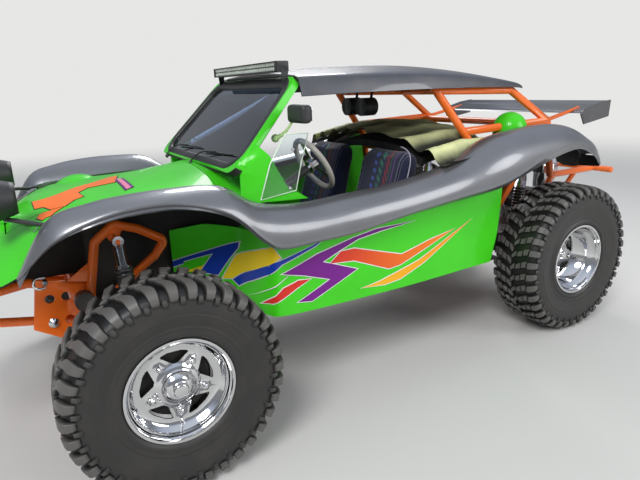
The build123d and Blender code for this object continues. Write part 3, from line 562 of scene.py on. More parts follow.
def plate(name, outline, low, high):
    # a side outline of (y, z) points drawn out between two x values
    work = bmesh.new()
    face = work.faces.new([work.verts.new(at(low, y, z)) for y, z in outline])
    for item in bmesh.ops.extrude_face_region(work, geom=[face])["geom"]:
        if isinstance(item, bmesh.types.BMVert):
            item.co.x = high
    bmesh.ops.recalc_face_normals(work, faces=work.faces)
    mesh = bpy.data.meshes.new(name)
    work.to_mesh(mesh)
    work.free()
    return mesh


def skinTree(mesh):
    return BVHTree.FromPolygons([v.co for v in mesh.vertices], [tuple(f.vertices) for f in mesh.polygons])


# Geometry Nodes trees: one repeats a mesh round the X axis, the other along a line


def repeatTree(name, control, kind):
    # copies of a mesh on the points of a line, made real and given a finish
    tree = bpy.data.node_groups.new(name, "GeometryNodeTree")
    for label, ending in (("Geometry", "Geometry"), ("Count", "Int"), (control, kind), ("Finish", "Material")):
        tree.interface.new_socket(label, in_out="INPUT", socket_type="NodeSocket" + ending)
    tree.interface.new_socket("Geometry", in_out="OUTPUT", socket_type="NodeSocketGeometry")
    add = adder(tree)
    given = add("NodeGroupInput").outputs
    if control == "Turn":
        index = add("GeometryNodeInputIndex").outputs[0]
        angle = add("ShaderNodeMath", {0: index, 1: given["Turn"]}, operation="MULTIPLY")
        offset = (0, 0, 0)
        turn = {"Rotation": add("ShaderNodeCombineXYZ", {0: angle.outputs[0]}).outputs[0]}
    else:
        offset, turn = given["Step"], {}
    line = add("GeometryNodeMeshLine", {"Count": given["Count"], "Offset": offset})
    placed = {"Points": line.outputs[0], "Instance": given["Geometry"], **turn}
    copies = add("GeometryNodeInstanceOnPoints", placed)
    solid = add("GeometryNodeRealizeInstances", {0: copies.outputs[0]})
    paint = add("GeometryNodeSetMaterial", {"Geometry": solid.outputs[0], "Material": given["Finish"]})
    add("NodeGroupOutput", {0: paint.outputs[0]})
    return tree


trees = {"around": repeatTree("repeatAround", "Turn", "Float"), "along": repeatTree("repeatAlong", "Step", "Vector")}


def repeated(name, mesh, tree, finishName, **values):
    # a plain mesh of the copies that a tree makes
    obj = linked(name, mesh)
    modifier = obj.modifiers.new("repeat", "NODES")
    modifier.node_group = trees[tree]
    values["Finish"] = materials[finishName]
    for socket in trees[tree].interface.items_tree:
        if socket.in_out == "INPUT" and socket.name in values:
            modifier[socket.identifier] = values[socket.name]
    copy = evaluated(obj)
    bpy.data.objects.remove(obj)
    return copy


def around(name, mesh, count, finishName, first=0.0):
    # copies evenly round the X axis
    start = moved(mesh, Matrix.Rotation(first, 4, "X"))
    return repeated(name, start, "around", finishName, Count=count, Turn=2 * math.pi / count)


def along(name, mesh, count, step, finishName):
    return repeated(name, mesh, "along", finishName, Count=count, Step=step)


def smoothed(node, degrees=30, finishes=()):
    # a merged and smoothly shaded copy of a CAD node, in its place; a second finish goes on faces turned down
    source = nodes[node]
    mesh = closeTo(source.data.copy())
    mesh.name = node + "Skin"
    smoothByAngle(mesh, degrees)
    pieceFrom(node + "Skin", mesh, source["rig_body"], slotOf[node], finishes, (node,))
    if len(finishes) > 1:
        for face in mesh.polygons:
            face.material_index = 1 if face.normal.z < -0.25 else 0


# Tyres

tyres = {
    "front": {"centre": (0.840, 0.0, 0.420), "radius": 0.420, "half": 0.146, "rim": 0.119, "lugs": 36},
    "rear": {"centre": (0.729, 2.42, 0.440), "radius": 0.440, "half": 0.150, "rim": 0.130, "lugs": 38},
}
# shoulder lug of a front tyre: in from the side and down from the top, at its top and at its foot,
# then how far it leans and half its width
hookedLug = [
    (0.117, 0.0000, 0.117, 0.020, -0.024, 0.009),
    (0.097, 0.0002, 0.097, 0.021, -0.017, 0.014),
    (0.071, 0.0010, 0.071, 0.021, -0.002, 0.0175),
    (0.047, 0.0030, 0.049, 0.024, 0.004, 0.019),
    (0.023, 0.0085, 0.031, 0.028, 0.005, 0.019),
    (0.009, 0.0180, 0.021, 0.034, 0.005, 0.018),
    (0.0015, 0.0300, 0.015, 0.040, 0.005, 0.017),
    (0.000, 0.0440, 0.011, 0.048, 0.005, 0.016),
    (0.0015, 0.0560, 0.007, 0.058, 0.005, 0.015),
]
# blocks of a rear tyre: the same columns, three blocks with gaps between them
blockLugs = [
    [(0.112, 0.0000, 0.114, 0.020, -0.018, 0.013), (0.086, 0.0005, 0.084, 0.021, -0.007, 0.016)],
    [(0.076, 0.0008, 0.078, 0.022, -0.001, 0.0165), (0.050, 0.0030, 0.048, 0.024, 0.008, 0.0165)],
    [(0.040, 0.0050, 0.042, 0.026, 0.002, 0.0175), (0.018, 0.0120, 0.026, 0.030, 0.005, 0.0175),
     (0.004, 0.0270, 0.016, 0.040, 0.006, 0.017), (0.000, 0.0420, 0.011, 0.050, 0.006, 0.0155),
     (0.002, 0.0540, 0.007, 0.058, 0.006, 0.0145)],
]
# blocks between the shoulder lugs and along the middle, in the same columns
biterLug = [
    (0.006, 0.0420, 0.012, 0.048, 0.004, 0.0085), (0.001, 0.0560, 0.008, 0.062, 0.004, 0.010),
    (0.0015, 0.0700, 0.006, 0.076, 0.004, 0.009),
]


def lugOf(rows, size, slope=0.003):
    # one lug at the top of the tyre, from its rows
    points = []
    for topIn, topDown, footIn, footDown, lean, half in rows:
        for inward, down, v in (
            (topIn, topDown, lean - half), (topIn, topDown, lean + half),
            (footIn, footDown, lean + half + slope), (footIn, footDown, lean - half - slope),
        ):
            r = size["radius"] - down
            angle = v / size["radius"]
            points.append((size["half"] - inward, r * math.sin(angle), r * math.cos(angle)))
    faces = [(0, 1, 2, 3), tuple(4 * (len(rows) - 1) + k for k in (3, 2, 1, 0))]
    for row in range(len(rows) - 1):
        for k in range(4):
            n = (k + 1) % 4
            faces.append((4 * row + k, 4 * row + 4 + k, 4 * row + 4 + n, 4 * row + n))
    mesh = meshOf("lug", points, faces)
    work = bmesh.new()
    work.from_mesh(mesh)
    bmesh.ops.recalc_face_normals(work, faces=work.faces)
    edges = [e for e in work.edges if len(e.link_faces) == 2 and e.calc_face_angle(0) > 0.6]
    bmesh.ops.bevel(work, geom=edges, offset=0.0014, segments=1, affect="EDGES")
    work.to_mesh(mesh)
    work.free()
    return mesh


def carcass(size):
    # the tyre's body from bead to bead, under its lugs, with a rim guard and two fine rings on its side
    r, half, rim = size["radius"], size["half"], size["rim"]
    side = [
        (0.0, r - 0.0185), (half - 0.070, r - 0.020), (half - 0.040, r - 0.025), (half - 0.020, r - 0.038),
        (half - 0.010, r - 0.060), (half - 0.006, r - 0.092), (half - 0.007, r - 0.112),
        (half - 0.0065, r - 0.115), (half - 0.0070, r - 0.118), (half - 0.012, r - 0.140),
        (half - 0.018, 0.262), (half - 0.0165, 0.254), (half - 0.019, 0.246), (rim + 0.008, 0.228),
        (rim + 0.001, 0.216), (rim - 0.006, 0.2095), (rim - 0.012, 0.207),
    ]
    outer = refined(side, 3)
    inner = [(rim - 0.024, 0.207), (rim - 0.016, 0.226), (half - 0.034, 0.270), (half - 0.026, r - 0.092),
             (half - 0.046, r - 0.052), (half - 0.076, r - 0.040)]
    profile = outer + inner
    return turned("carcass", profile + [(-x, q) for x, q in reversed(profile)][:-1], 144)


def tyreMesh(end, size):
    count = size["lugs"]
    pitch = 2 * math.pi / count
    lugs = [lugOf(hookedLug, size)] if end == "front" else [lugOf(rows, size) for rows in blockLugs]
    lugs.append(moved(lugOf(biterLug, size), Matrix.Rotation(pitch / 2, 4, "X")))
    shoulder = joined("shoulder", lugs)
    middle = size["half"]
    block = lugOf([(middle - 0.001, 0.0, middle + 0.002, 0.020, -0.012, 0.012),
                   (middle - 0.026, 0.0, middle - 0.029, 0.020, 0.010, 0.013)], size)
    ring = joined("ring", [shoulder, moved(block, Matrix.Rotation(0.35 * pitch, 4, "X"))])
    sideRing = around(end + "Ring", ring, count, "tyre", first=math.pi)
    other = moved(sideRing, Matrix.Rotation(pitch / 2, 4, "X") @ mirrorX)
    body = carcass(size)
    mesh = joined(end + "Tyre", [body, sideRing, other])
    smoothByAngle(mesh, 34)
    markLift(mesh, body, size)
    return mesh


def markLift(mesh, body, size):
    # for the rubber's painted highlight and shade: 1 on the lugs' tops, 0 between them and 0.5 on the side wall
    tree = skinTree(body)
    values = []
    for n, v in enumerate(mesh.vertices):
        if n < len(body.vertices):
            reach = math.hypot(v.co.y, v.co.z) / size["radius"]
            values.append(0.5 * min(max((0.91 - reach) / 0.04, 0), 1))
        else:
            values.append(min(tree.find_nearest(v.co)[3] / 0.015, 1))
    mesh.attributes.new("lift", "FLOAT", "POINT").data.foreach_set("value", values)


for end, size in tyres.items():
    rubber = tyreMesh(end, size)
    rubber.transform(Matrix.Translation(at(*size["centre"])))
    bothSides(end + "Tyre", rubber, f"wheel_{end}_{{side}}", "tyre", ("tyre",), (f"tyre_{end}_{{side}}",))
print("tyres made")


# Rims

rims = {
    "front": {"face": 0.057, "boltCircle": 0.106, "valve": 0.152, "steps": (0.066, 0.078, 0.090)},
    "rear": {"face": -0.020, "boltCircle": 0.106, "valve": 0.152,
             "steps": (-0.008, 0.010, 0.028, 0.046, 0.064, 0.082)},
}
for end, size in rims.items():
    nut = turned("nut", [(0.000, 0.0135), (0.004, 0.0135), (0.005, 0.0105), (0.020, 0.0105), (0.024, 0.006),
                         (0.024, 0.0001), (0.000, 0.0001)], 12)
    nut.transform(Matrix.Translation((size["face"] - 0.001, 0, -size["boltCircle"])))
    nuts = around(end + "Nuts", nut, 5, "chrome")
    skirt = turned("capSkirt", [(0.000, 0.0745), (0.0035, 0.0735), (0.0045, 0.0715), (0.0045, 0.0640),
                                (0.0090, 0.0615), (0.0090, 0.0590), (0.000, 0.0590)], 64)
    skirt.transform(Matrix.Translation((size["face"], 0, 0)))
    steps = []
    for x in size["steps"]:
        steps.append(turned("step", [(x, 0.1868), (x + 0.0015, 0.1835), (x + 0.004, 0.1828), (x + 0.0065, 0.1835),
                                     (x + 0.008, 0.1868)], 96))
    valve = turned("valve", [(-0.004, 0.006), (0.010, 0.005), (0.012, 0.0032), (0.030, 0.0032), (0.032, 0.0001),
                             (-0.004, 0.0001)], 10)
    valve.transform(Matrix.Translation((size["face"], 0, -size["valve"])))
    capRing = turned("capRing", [(0.016, 0.060), (0.0195, 0.0585), (0.0195, 0.0565), (0.016, 0.055)], 48)
    capRing.transform(Matrix.Translation((size["face"], 0, 0)))
    trim = joined(end + "RimTrim", [nuts, valve, capRing, skirt] + steps)
    smoothByAngle(trim, 40)
    trim.transform(Matrix.Translation(at(*tyres[end]["centre"])))
    bothSides(end + "RimTrim", trim, f"wheel_{end}_{{side}}", "chrome")
    for side, matrix in sides:
        smoothed(f"rim_{end}_{side}", 24)
print("rims made")


# Fenders: a crowned band whose lower edge turns under

fender = {"wall": 0.007, "across": 22, "between": 5}
# y, inner edge x and z, crown x and z, outer lip x and z, how far the edge turns under
fenderRows = [
    (-0.455, 0.610, 0.845, 0.660, 0.872, 0.705, 0.862, 0.010),
    (-0.335, 0.575, 1.000, 0.700, 1.052, 0.770, 0.985, 0.016),
    (-0.200, 0.560, 1.030, 0.730, 1.097, 0.803, 1.043, 0.020),
    (-0.055, 0.555, 1.040, 0.740, 1.118, 0.822, 1.070, 0.022),
    (0.115, 0.555, 1.045, 0.742, 1.121, 0.825, 1.065, 0.022),
    (0.300, 0.565, 1.040, 0.740, 1.101, 0.818, 1.000, 0.022),
    (0.430, 0.590, 1.008, 0.726, 1.028, 0.806, 0.880, 0.022),
    (0.520, 0.600, 0.980, 0.712, 1.000, 0.796, 0.826, 0.022),
    (0.700, 0.602, 0.966, 0.706, 0.985, 0.790, 0.826, 0.022),
    (0.900, 0.602, 0.978, 0.706, 0.996, 0.788, 0.834, 0.022),
    (1.200, 0.603, 0.995, 0.708, 1.015, 0.792, 0.872, 0.024),
    (1.500, 0.606, 1.045, 0.712, 1.066, 0.800, 0.902, 0.030),
    (1.700, 0.600, 1.128, 0.716, 1.150, 0.808, 0.920, 0.040),
    (1.850, 0.590, 1.172, 0.718, 1.195, 0.814, 0.945, 0.050),
    (2.050, 0.580, 1.195, 0.720, 1.219, 0.822, 1.008, 0.056),
    (2.250, 0.575, 1.200, 0.720, 1.226, 0.826, 1.068, 0.052),
    (2.420, 0.580, 1.186, 0.718, 1.205, 0.822, 1.088, 0.040),
    (2.560, 0.588, 1.130, 0.708, 1.149, 0.806, 1.040, 0.026),
    (2.650, 0.596, 1.084, 0.696, 1.103, 0.772, 1.000, 0.018),
    (2.725, 0.604, 1.005, 0.685, 1.022, 0.738, 0.960, 0.012),
]


def circleThrough(a, b, c):
    # centre and radius of the circle through three (x, z) points
    d = 2 * (a[0] * (b[1] - c[1]) + b[0] * (c[1] - a[1]) + c[0] * (a[1] - b[1]))
    s = [p[0] ** 2 + p[1] ** 2 for p in (a, b, c)]
    x = (s[0] * (b[1] - c[1]) + s[1] * (c[1] - a[1]) + s[2] * (a[1] - b[1])) / d
    z = (s[0] * (c[0] - b[0]) + s[1] * (a[0] - c[0]) + s[2] * (b[0] - a[0])) / d
    return x, z, math.dist((x, z), a)


def fenderSkin():
    rows = []
    for y, xi, zi, xc, zc, xl, zl, under in refined(fenderRows, fender["between"]):
        cx, cz, radius = circleThrough((xi, zi), (xc, zc), (xl, zl))
        first = math.atan2(zi - cz, xi - cx)
        crown = math.atan2(zc - cz, xc - cx)
        crease = min(math.asin(min((zl + under - cz) / radius, 1)), crown - 0.05)
        angles = [first + (crease - first) * n / (fender["across"] - 1) for n in range(fender["across"])]
        arc = [(cx + radius * math.cos(q), cz + radius * math.sin(q)) for q in angles]
        x, z = arc[-1]
        edge = [(x + 0.001, z - 0.004), (x - 0.001, z - 0.009), (x - 0.006, z - 0.014), (xl - 0.012 - 0.3 * under, zl)]
        inner = [(xi + 0.004, zi - 0.030), (xi + 0.001, zi - 0.004)]
        rows.append([at(px, y, pz) for px, pz in inner + arc + edge])
    return thickened(facing(sheetOf("fenderSkin", rows), axisZ), fender["wall"])


bothSides("fender", fenderSkin(), "root", "silver_paint", ("silver_paint", "undercoat"), ("fender_{side}",))
print("fenders made")


# Side panels

panel = {"low": 0.480, "wall": 0.008, "columns": 90, "rows": 14}
panelPlan = [(0.400, 0.150), (0.438, 0.300), (0.500, 0.425), (0.620, 0.495), (0.690, 0.600), (0.702, 1.200),
             (0.684, 1.600), (0.664, 1.950)]  # x and y of the outer face
panelTop = [(0.150, 0.889), (0.300, 0.905), (0.430, 0.880), (0.520, 0.862), (0.560, 0.970), (0.600, 0.974),
            (0.900, 0.984), (1.200, 1.003), (1.500, 1.054), (1.700, 1.138), (1.850, 1.183), (1.990, 1.200)]  # y and z
panelRear = [(0.480, 1.885), (0.640, 1.930), (0.860, 1.952), (1.250, 1.952)]  # z and y of the rear edge


def readOff(table, value):
    # a straight reading between the rows of a table
    for (a, u), (b, v) in zip(table, table[1:]):
        if value <= b:
            return u + (v - u) * max(value - a, 0) / (b - a)
    return table[-1][1]


panelLine = [(y, x) for x, y in refined(panelPlan, 8)]  # the plan with its corners eased


def panelSkin():
    rows = []
    for r in range(panel["rows"] + 1):
        t = r / panel["rows"]
        end = readOff(panelRear, panel["low"] + t * 0.71)
        row = []
        for c in range(panel["columns"] + 1):
            y = panelPlan[0][1] + (end - panelPlan[0][1]) * c / panel["columns"]
            z = panel["low"] + t * (readOff(panelTop, y) - panel["low"])
            row.append(at(readOff(panelLine, y), y, z))
        rows.append(row)
    return facing(sheetOf("panelSkin", rows), axisX)


panelSheet = panelSkin()
bothSides("sidePanel", thickened(panelSheet.copy(), panel["wall"], "green_paint"), "root", "green_paint",
          ("green_paint", "undercoat"), ("side_panel_{side}",))
print("side panels made")


# Painted graphics, laid on the skins below them


def allOf(work):
    return work.verts[:] + work.edges[:] + work.faces[:]


def flatShape(outline, creases, step=0.012, cut=None):
    # a flat face from an outline, cut into a grid so that it can follow a curved skin
    work = bmesh.new()
    corners = [work.verts.new((a, b, 0)) for a, b in outline]
    for three in tessellate_polygon([[Vector((a, b, 0)) for a, b in outline]]):
        work.faces.new([corners[n] for n in three])
    for axis, more in ((0, creases), (1, ())):
        low, high = min(p[axis] for p in outline), max(p[axis] for p in outline)
        places = [n * step for n in range(math.ceil(low / step), math.ceil(high / step))]
        for place in sorted(places + [c for c in more if low < c < high]):
            normal = (1, 0, 0) if axis == 0 else (0, 1, 0)
            co = (place, 0, 0) if axis == 0 else (0, place, 0)
            bmesh.ops.bisect_plane(work, geom=allOf(work), plane_co=co, plane_no=normal)
    if cut:
        # keeps what lies on one side of a line, given by a point and the direction that goes
        bmesh.ops.bisect_plane(work, geom=allOf(work), plane_co=(*cut[0], 0), plane_no=(*cut[1], 0), clear_outer=True)
    mesh = bpy.data.meshes.new("shape")
    work.to_mesh(mesh)
    work.free()
    return mesh


def grown(outline, width):
    # the outline moved outwards, for the thin line round a graphic
    area = sum(a[0] * b[1] - b[0] * a[1] for a, b in zip(outline, outline[1:] + outline[:1]))
    turn = 1 if area > 0 else -1
    result = []
    for n, (x, y) in enumerate(outline):
        (ax, ay), (bx, by) = outline[n - 1], outline[(n + 1) % len(outline)]
        u, v = Vector((x - ax, y - ay)).normalized(), Vector((bx - x, by - y)).normalized()
        out = Vector((u.y, -u.x)) * turn
        normal = Vector((u.y + v.y, -u.x - v.x)) * turn
        if normal.length < 1e-6:
            normal = out.copy()
        normal.normalize()
        reach = width / max(0.45, normal.dot(out))
        result.append((x + normal.x * reach, y + normal.y * reach))
    return result


def laidOn(outline, node, lift, axis, cut=None):
    # a graphic pressed on to a skin, looking along X or down Z
    sideways = axis == "X"
    ray = -axisX if sideways else -axisZ
    near = 0.55 if sideways else 0.57  # from the start to about the skin, for points that the ray misses
    flat = flatShape(outline, [y for x, y in panelPlan] if sideways else (), cut=cut)
    for v in flat.vertices:
        start = at(1.2, v.co.x, v.co.y) if sideways else at(v.co.x, v.co.y, 1.6)
        hit, normal = skinTrees[node].ray_cast(start, ray)[:2]
        if hit is None:
            hit, normal = skinTrees[node].find_nearest(start + ray * near)[:2]
        if normal.dot(ray) > 0:
            normal = -normal
        v.co = hit + normal * lift
    closeTo(flat, 0.0002)
    facing(flat, -ray)
    smoothByAngle(flat, 60)
    return flat


skinTrees = {name: skinTree(closeTo(nodes[name].data.copy())) for name in ("bonnet", "nose")}
skinTrees["side_panel_left"] = skinTree(panelSheet)

# name, finish, finish of its thin outline, (y, z) points on the left panel
panelGraphics = [
    ("blueStripe", "blueInk", "silverInk", [
        (0.399, 0.632), (0.526, 0.737), (0.762, 0.809), (0.73, 0.79), (0.559, 0.727), (0.421, 0.601)]),
    ("yellowWing", "yellowInk", None, [
        (0.194, 0.692), (0.28, 0.71), (0.264, 0.68)]),
    ("amberWing", "amberInk", "silverInk", [
        (0.419, 0.752), (0.524, 0.811), (0.555, 0.76), (0.399, 0.637), (0.356, 0.639)]),
    ("blueBolt", "blueInk", "silverInk", [
        (0.093, 0.734), (0.318, 0.783), (0.433, 0.813), (0.427, 0.784), (0.339, 0.658), (0.264, 0.680), (0.326, 0.764),
        (0.091, 0.721)]),
    ("redFlash", "emberInk", "whiteInk", [
        (0.485, 0.536), (0.56, 0.615), (0.631, 0.64), (0.692, 0.636), (0.629, 0.608), (0.516, 0.542)]),
    ("purpleTail", "purpleInk", "whiteInk", [
        (0.611, 0.691), (0.451, 0.56), (0.532, 0.627)]),
    ("yellowSweep", "amberInk", "whiteInk", [
        (0.968, 0.531), (1.075, 0.544), (1.324, 0.605), (1.713, 0.765), (1.366, 0.588), (1.204, 0.53), (1.111, 0.521)]),
    ("redSweep", "emberInk", "whiteInk", [
        (0.797, 0.691), (0.855, 0.739), (0.929, 0.741), (1.212, 0.659), (1.404, 0.703), (1.577, 0.73), (1.384, 0.666),
        (1.203, 0.606), (1.133, 0.599), (0.928, 0.681)]),
    ("purpleBolt", "purpleInk", "whiteInk", [
        (1.299, 0.819), (1.058, 0.816), (0.922, 0.794), (0.728, 0.748), (0.557, 0.683), (0.662, 0.659), (0.794, 0.615),
        (0.626, 0.536), (0.695, 0.527), (0.944, 0.636), (0.758, 0.706), (0.855, 0.747), (0.955, 0.784),
        (1.093, 0.803)]),
]
# the bonnet's, as (x, y) points
bonnetGraphics = [
    ("orangeBolt", "orangeInk", "darkInk", [
        (-0.19, 0.059), (0.026, 0.009), (0.02, -0.114), (0.098, -0.166), (0.206, -0.156), (0.232, -0.195),
        (0.302, -0.237), (0.359, -0.289), (0.379, -0.303), (0.383, -0.336), (0.333, -0.353), (0.304, -0.342),
        (0.313, -0.293), (0.262, -0.309), (0.231, -0.32), (0.203, -0.352), (0.054, -0.355), (0.07, -0.336),
        (0.082, -0.309), (0.055, -0.253), (-0.01, -0.201), (-0.062, -0.157), (-0.116, -0.071), (-0.19, 0.013)]),
    ("barViolet", "purpleInk", "darkInk", [
        (-0.064, 0.022), (-0.055, 0.057), (0.219, 0.056), (0.246, 0.016)]),
    ("barPink", "pinkInk", None, [
        (-0.055, 0.030), (-0.050, 0.049), (0.214, 0.047), (0.236, 0.024)]),
]


def graphics(rows, node, axis, body, name, cut=None):
    for n, (label, ink, rim, outline) in enumerate(rows):
        layers = [("Line", rim, grown(outline, 0.0045), 0.0008), ("", ink, outline, 0.0018)]
        for ending, inkName, shape, lift in layers:
            if not inkName:
                continue
            mesh = laidOn(shape, node, lift + 0.0002 * n, axis, cut)
            if not mesh.polygons:
                continue
            if axis == "X":
                bothSides(label + ending, mesh, body, slotOf[node], (inkName,))
            else:
                pieceFrom(label + ending + node.title(), mesh, body, slotOf[node], (inkName,))
    print(name, "laid on")


graphics(panelGraphics, "side_panel_left", "X", "root", "panel graphics")
seamPoint, seamTurn = (0.3475, -0.0475), Vector((0.845, -0.165)).normalized()
graphics(bonnetGraphics, "bonnet", "Z", "bonnet", "bonnet graphics", (Vector(seamPoint) - seamTurn * 0.0005, seamTurn))
graphics(bonnetGraphics, "nose", "Z", "root", "nose graphics", (Vector(seamPoint) + seamTurn * 0.0055, -seamTurn))


# Roof: one smooth shell through its stations

roof = {"wall": 0.007, "across": 24, "between": 5}
roofRows = [  # y, half width, height of the edge, of the shoulder and of the crown
    (0.775, 0.536, 1.442, 1.530, 1.556), (1.000, 0.542, 1.447, 1.532, 1.576), (1.300, 0.548, 1.450, 1.534, 1.586),
    (1.600, 0.552, 1.451, 1.528, 1.586), (1.900, 0.546, 1.447, 1.504, 1.560), (2.165, 0.533, 1.440, 1.468, 1.511),
    (2.232, 0.522, 1.434, 1.448, 1.478),
]


def roofSkin():
    rows = []
    for y, half, edge, shoulder, crown in refined(roofRows, roof["between"]):
        lean = (shoulder - edge) * 0.35
        reach = half - lean
        cx, cz, radius = circleThrough((-reach, shoulder), (0, crown), (reach, shoulder))
        flat = reach * 0.94
        arc = [(x, cz + math.sqrt(radius**2 - x**2))
               for x in [flat * (2 * n / roof["across"] - 1) for n in range(roof["across"] + 1)]]
        low = (half - 0.72 * lean, edge + 0.72 * (shoulder - edge))
        side = [(half, edge), (half - 0.36 * lean, edge + 0.36 * (shoulder - edge))]
        for t in (0, 0.25, 0.5, 0.75):  # the rounded shoulder
            side.append(tuple((1 - t)**2 * a + 2 * t * (1 - t) * b + t**2 * c
                              for a, b, c in zip(low, (reach, shoulder), arc[-1])))
        rows.append([at(-x, y, z) for x, z in side] + [at(x, y, z) for x, z in arc] +
                    [at(x, y, z) for x, z in reversed(side)])
    return thickened(facing(sheetOf("roofSkin", rows), axisZ), roof["wall"], "roof_paint")


pieceFrom("roofSkin", roofSkin(), "root", slotOf["hard_top"], ("roof_paint", "undercoat"), ("hard_top",))
print("roof made")


# Dark liner inside the tail of each rear wing

linerRows = [  # x, y, top and foot, from the arch's inner side round to the tail's tip
    (0.594, 2.470, 1.120, 1.055), (0.594, 2.500, 1.122, 0.990), (0.595, 2.560, 1.118, 0.962),
    (0.597, 2.650, 1.070, 0.945), (0.606, 2.705, 1.020, 0.945), (0.640, 2.718, 1.014, 0.946),
    (0.690, 2.720, 1.014, 0.948), (0.728, 2.720, 0.975, 0.952),
]
liner = sheetOf("archLiner", [[at(x, y, top), at(x, y, foot)] for x, y, top, foot in linerRows])
bothSides("archLiner", thickened(liner, 0.004, "undercoat"), "root", slotOf["fender_left"],
          ("undercoat", "undercoat"))


# Windscreen: rubber round the glass, wipers at its foot

screen = {"low": (0.434, 1.155), "high": (0.748, 1.486), "halfLow": 0.550, "halfHigh": 0.468, "corner": 0.085}
screenUp = Vector((0, screen["high"][0] - screen["low"][0], screen["high"][1] - screen["low"][1]))
screenTall = screenUp.length
screenUp.normalize()
screenOut = Vector((1, 0, 0)).cross(screenUp)


def onScreen(across, up, out):
    return at(across, *screen["low"]) + screenUp * up + screenOut * out


def screenLine(grow, above, corner, count=9):
    # the rounded outline of the glass, grown by a width
    low, high = screen["halfLow"] + grow, screen["halfHigh"] + grow
    corners = [Vector((-low, -grow)), Vector((low, -grow)), Vector((high, screenTall + above)),
               Vector((-high, screenTall + above))]
    line = []
    for n, point in enumerate(corners):
        a, b = (corners[n - 1] - point).normalized(), (corners[(n + 1) % 4] - point).normalized()
        half = a.angle(b) / 2
        centre = point + (a + b).normalized() * corner / math.sin(half)
        start = point + a * corner / math.tan(half) - centre
        sweep = start.angle_signed(point + b * corner / math.tan(half) - centre)
        for step in range(count + 1):
            line.append(centre + Matrix.Rotation(-sweep * step / count, 2) @ start)
    return line


rubber = [  # grown by, grown above, out from the glass
    (-0.009, -0.009, 0.0035), (-0.009, -0.009, 0.0110), (-0.004, -0.004, 0.0185), (0.006, 0.008, 0.0215),
    (0.018, 0.026, 0.0210), (0.027, 0.038, 0.0195), (0.030, 0.0415, 0.0165),
]
rows = [[onScreen(p.x, p.y, out) for p in screenLine(grow, above, screen["corner"] + grow)]
        for grow, above, out in rubber]
behind = [(-0.010, -0.003), (-0.011, -0.020), (-0.002, -0.030), (0.014, -0.030)]  # the same, inside the car
backRows = [[onScreen(p.x, p.y, out) for p in screenLine(grow, grow, screen["corner"] + grow)] for grow, out in behind]
gasket = closeTo(joined("screenRubber", [sheetOf("front", rows, closed=True), sheetOf("back", backRows, closed=True)]))
facing(gasket, screenOut)
smoothByAngle(gasket, 50)
pieceFrom("screenRubber", gasket, "root", slotOf["nose"], ("black_rubber",))

wiper = {"blade": 0.36, "rise": 0.030}
for n, foot in enumerate((-0.395, 0.060)):
    up = wiper["rise"]
    blade = tubeOf("blade", [onScreen(foot + 0.02, up, 0.013), onScreen(foot + 0.2, up + 0.012, 0.014),
                             onScreen(foot + 0.02 + wiper["blade"], up + 0.020, 0.013)], 0.0042, sides=8)
    arm = tubeOf("arm", [onScreen(foot - 0.03, -0.055, 0.022), onScreen(foot - 0.02, -0.02, 0.030),
                         onScreen(foot + 0.06, up, 0.030), onScreen(foot + 0.19, up + 0.010, 0.022)], 0.0036, sides=8)
    hub = pointed(onScreen(foot - 0.03, -0.055, 0.010), screenOut,
                 turned("hub", [(0, 0.013), (0.010, 0.013), (0.015, 0.009), (0.017, 0.0001), (0, 0.0001)], 20))
    pieceFrom(f"wiper{n + 1}", joined("wiper", [blade, arm, hub]), "root", slotOf["nose"], ("black_rubber",))
smoothed("windscreen", finishes=("screen_glass",))
print("windscreen dressed")


# Light bar on the roof's edge: two rows of cells in a finned housing

lightBar = {"y": 0.712, "cells": 40, "pitch": 0.0200, "z": (1.5655, 1.5865)}
cell = turned("cell", [(0.0008, 0.0093), (0.0030, 0.0088), (0.0012, 0.0040), (0.0024, 0.0022), (0.0026, 0.0001),
                       (0.0001, 0.0001), (0.0001, 0.0093)], 12)
cell = moved(cell, Matrix.Rotation(-math.pi / 2, 4, "Z"))
rowsOfCells = [along("cells", moved(cell, Matrix.Translation(at(-0.390, lightBar["y"], z))), lightBar["cells"],
                     (lightBar["pitch"], 0, 0), "led_lens") for z in lightBar["z"]]
pieceFrom("lightCells", closeTo(joined("lightCells", rowsOfCells)), "root", slotOf["light_bar"], ("led_lens",))
smoothByAngle(bpy.data.objects["lightCells"].data, 30)
edge = [softBlock("edge", at(-0.416, 0.704, z - 0.003), at(0.416, 0.714, z + 0.003), 0.0012, 2)
        for z in (1.5545, 1.5965)]
edge += [softBlock("edge", at(x - 0.004, 0.704, 1.5520), at(x + 0.004, 0.714, 1.600), 0.0012, 2)
         for x in (-0.412, 0.412)]
fin = softBlock("fin", at(-0.414, 0.766, 1.5535), at(-0.412, 0.7745, 1.5985), 0.0006, 1)
fins = along("fins", fin, 70, (0.012, 0, 0), "black_plastic")
pieceFrom("lightBarTrim", joined("lightBarTrim", edge + [fins]), "root", slotOf["light_bar"], ("black_plastic",))
print("light bar dressed")


# Headlamps: a bezel, a clear lens and a bright bowl with its bulb, in the CAD's black bowls

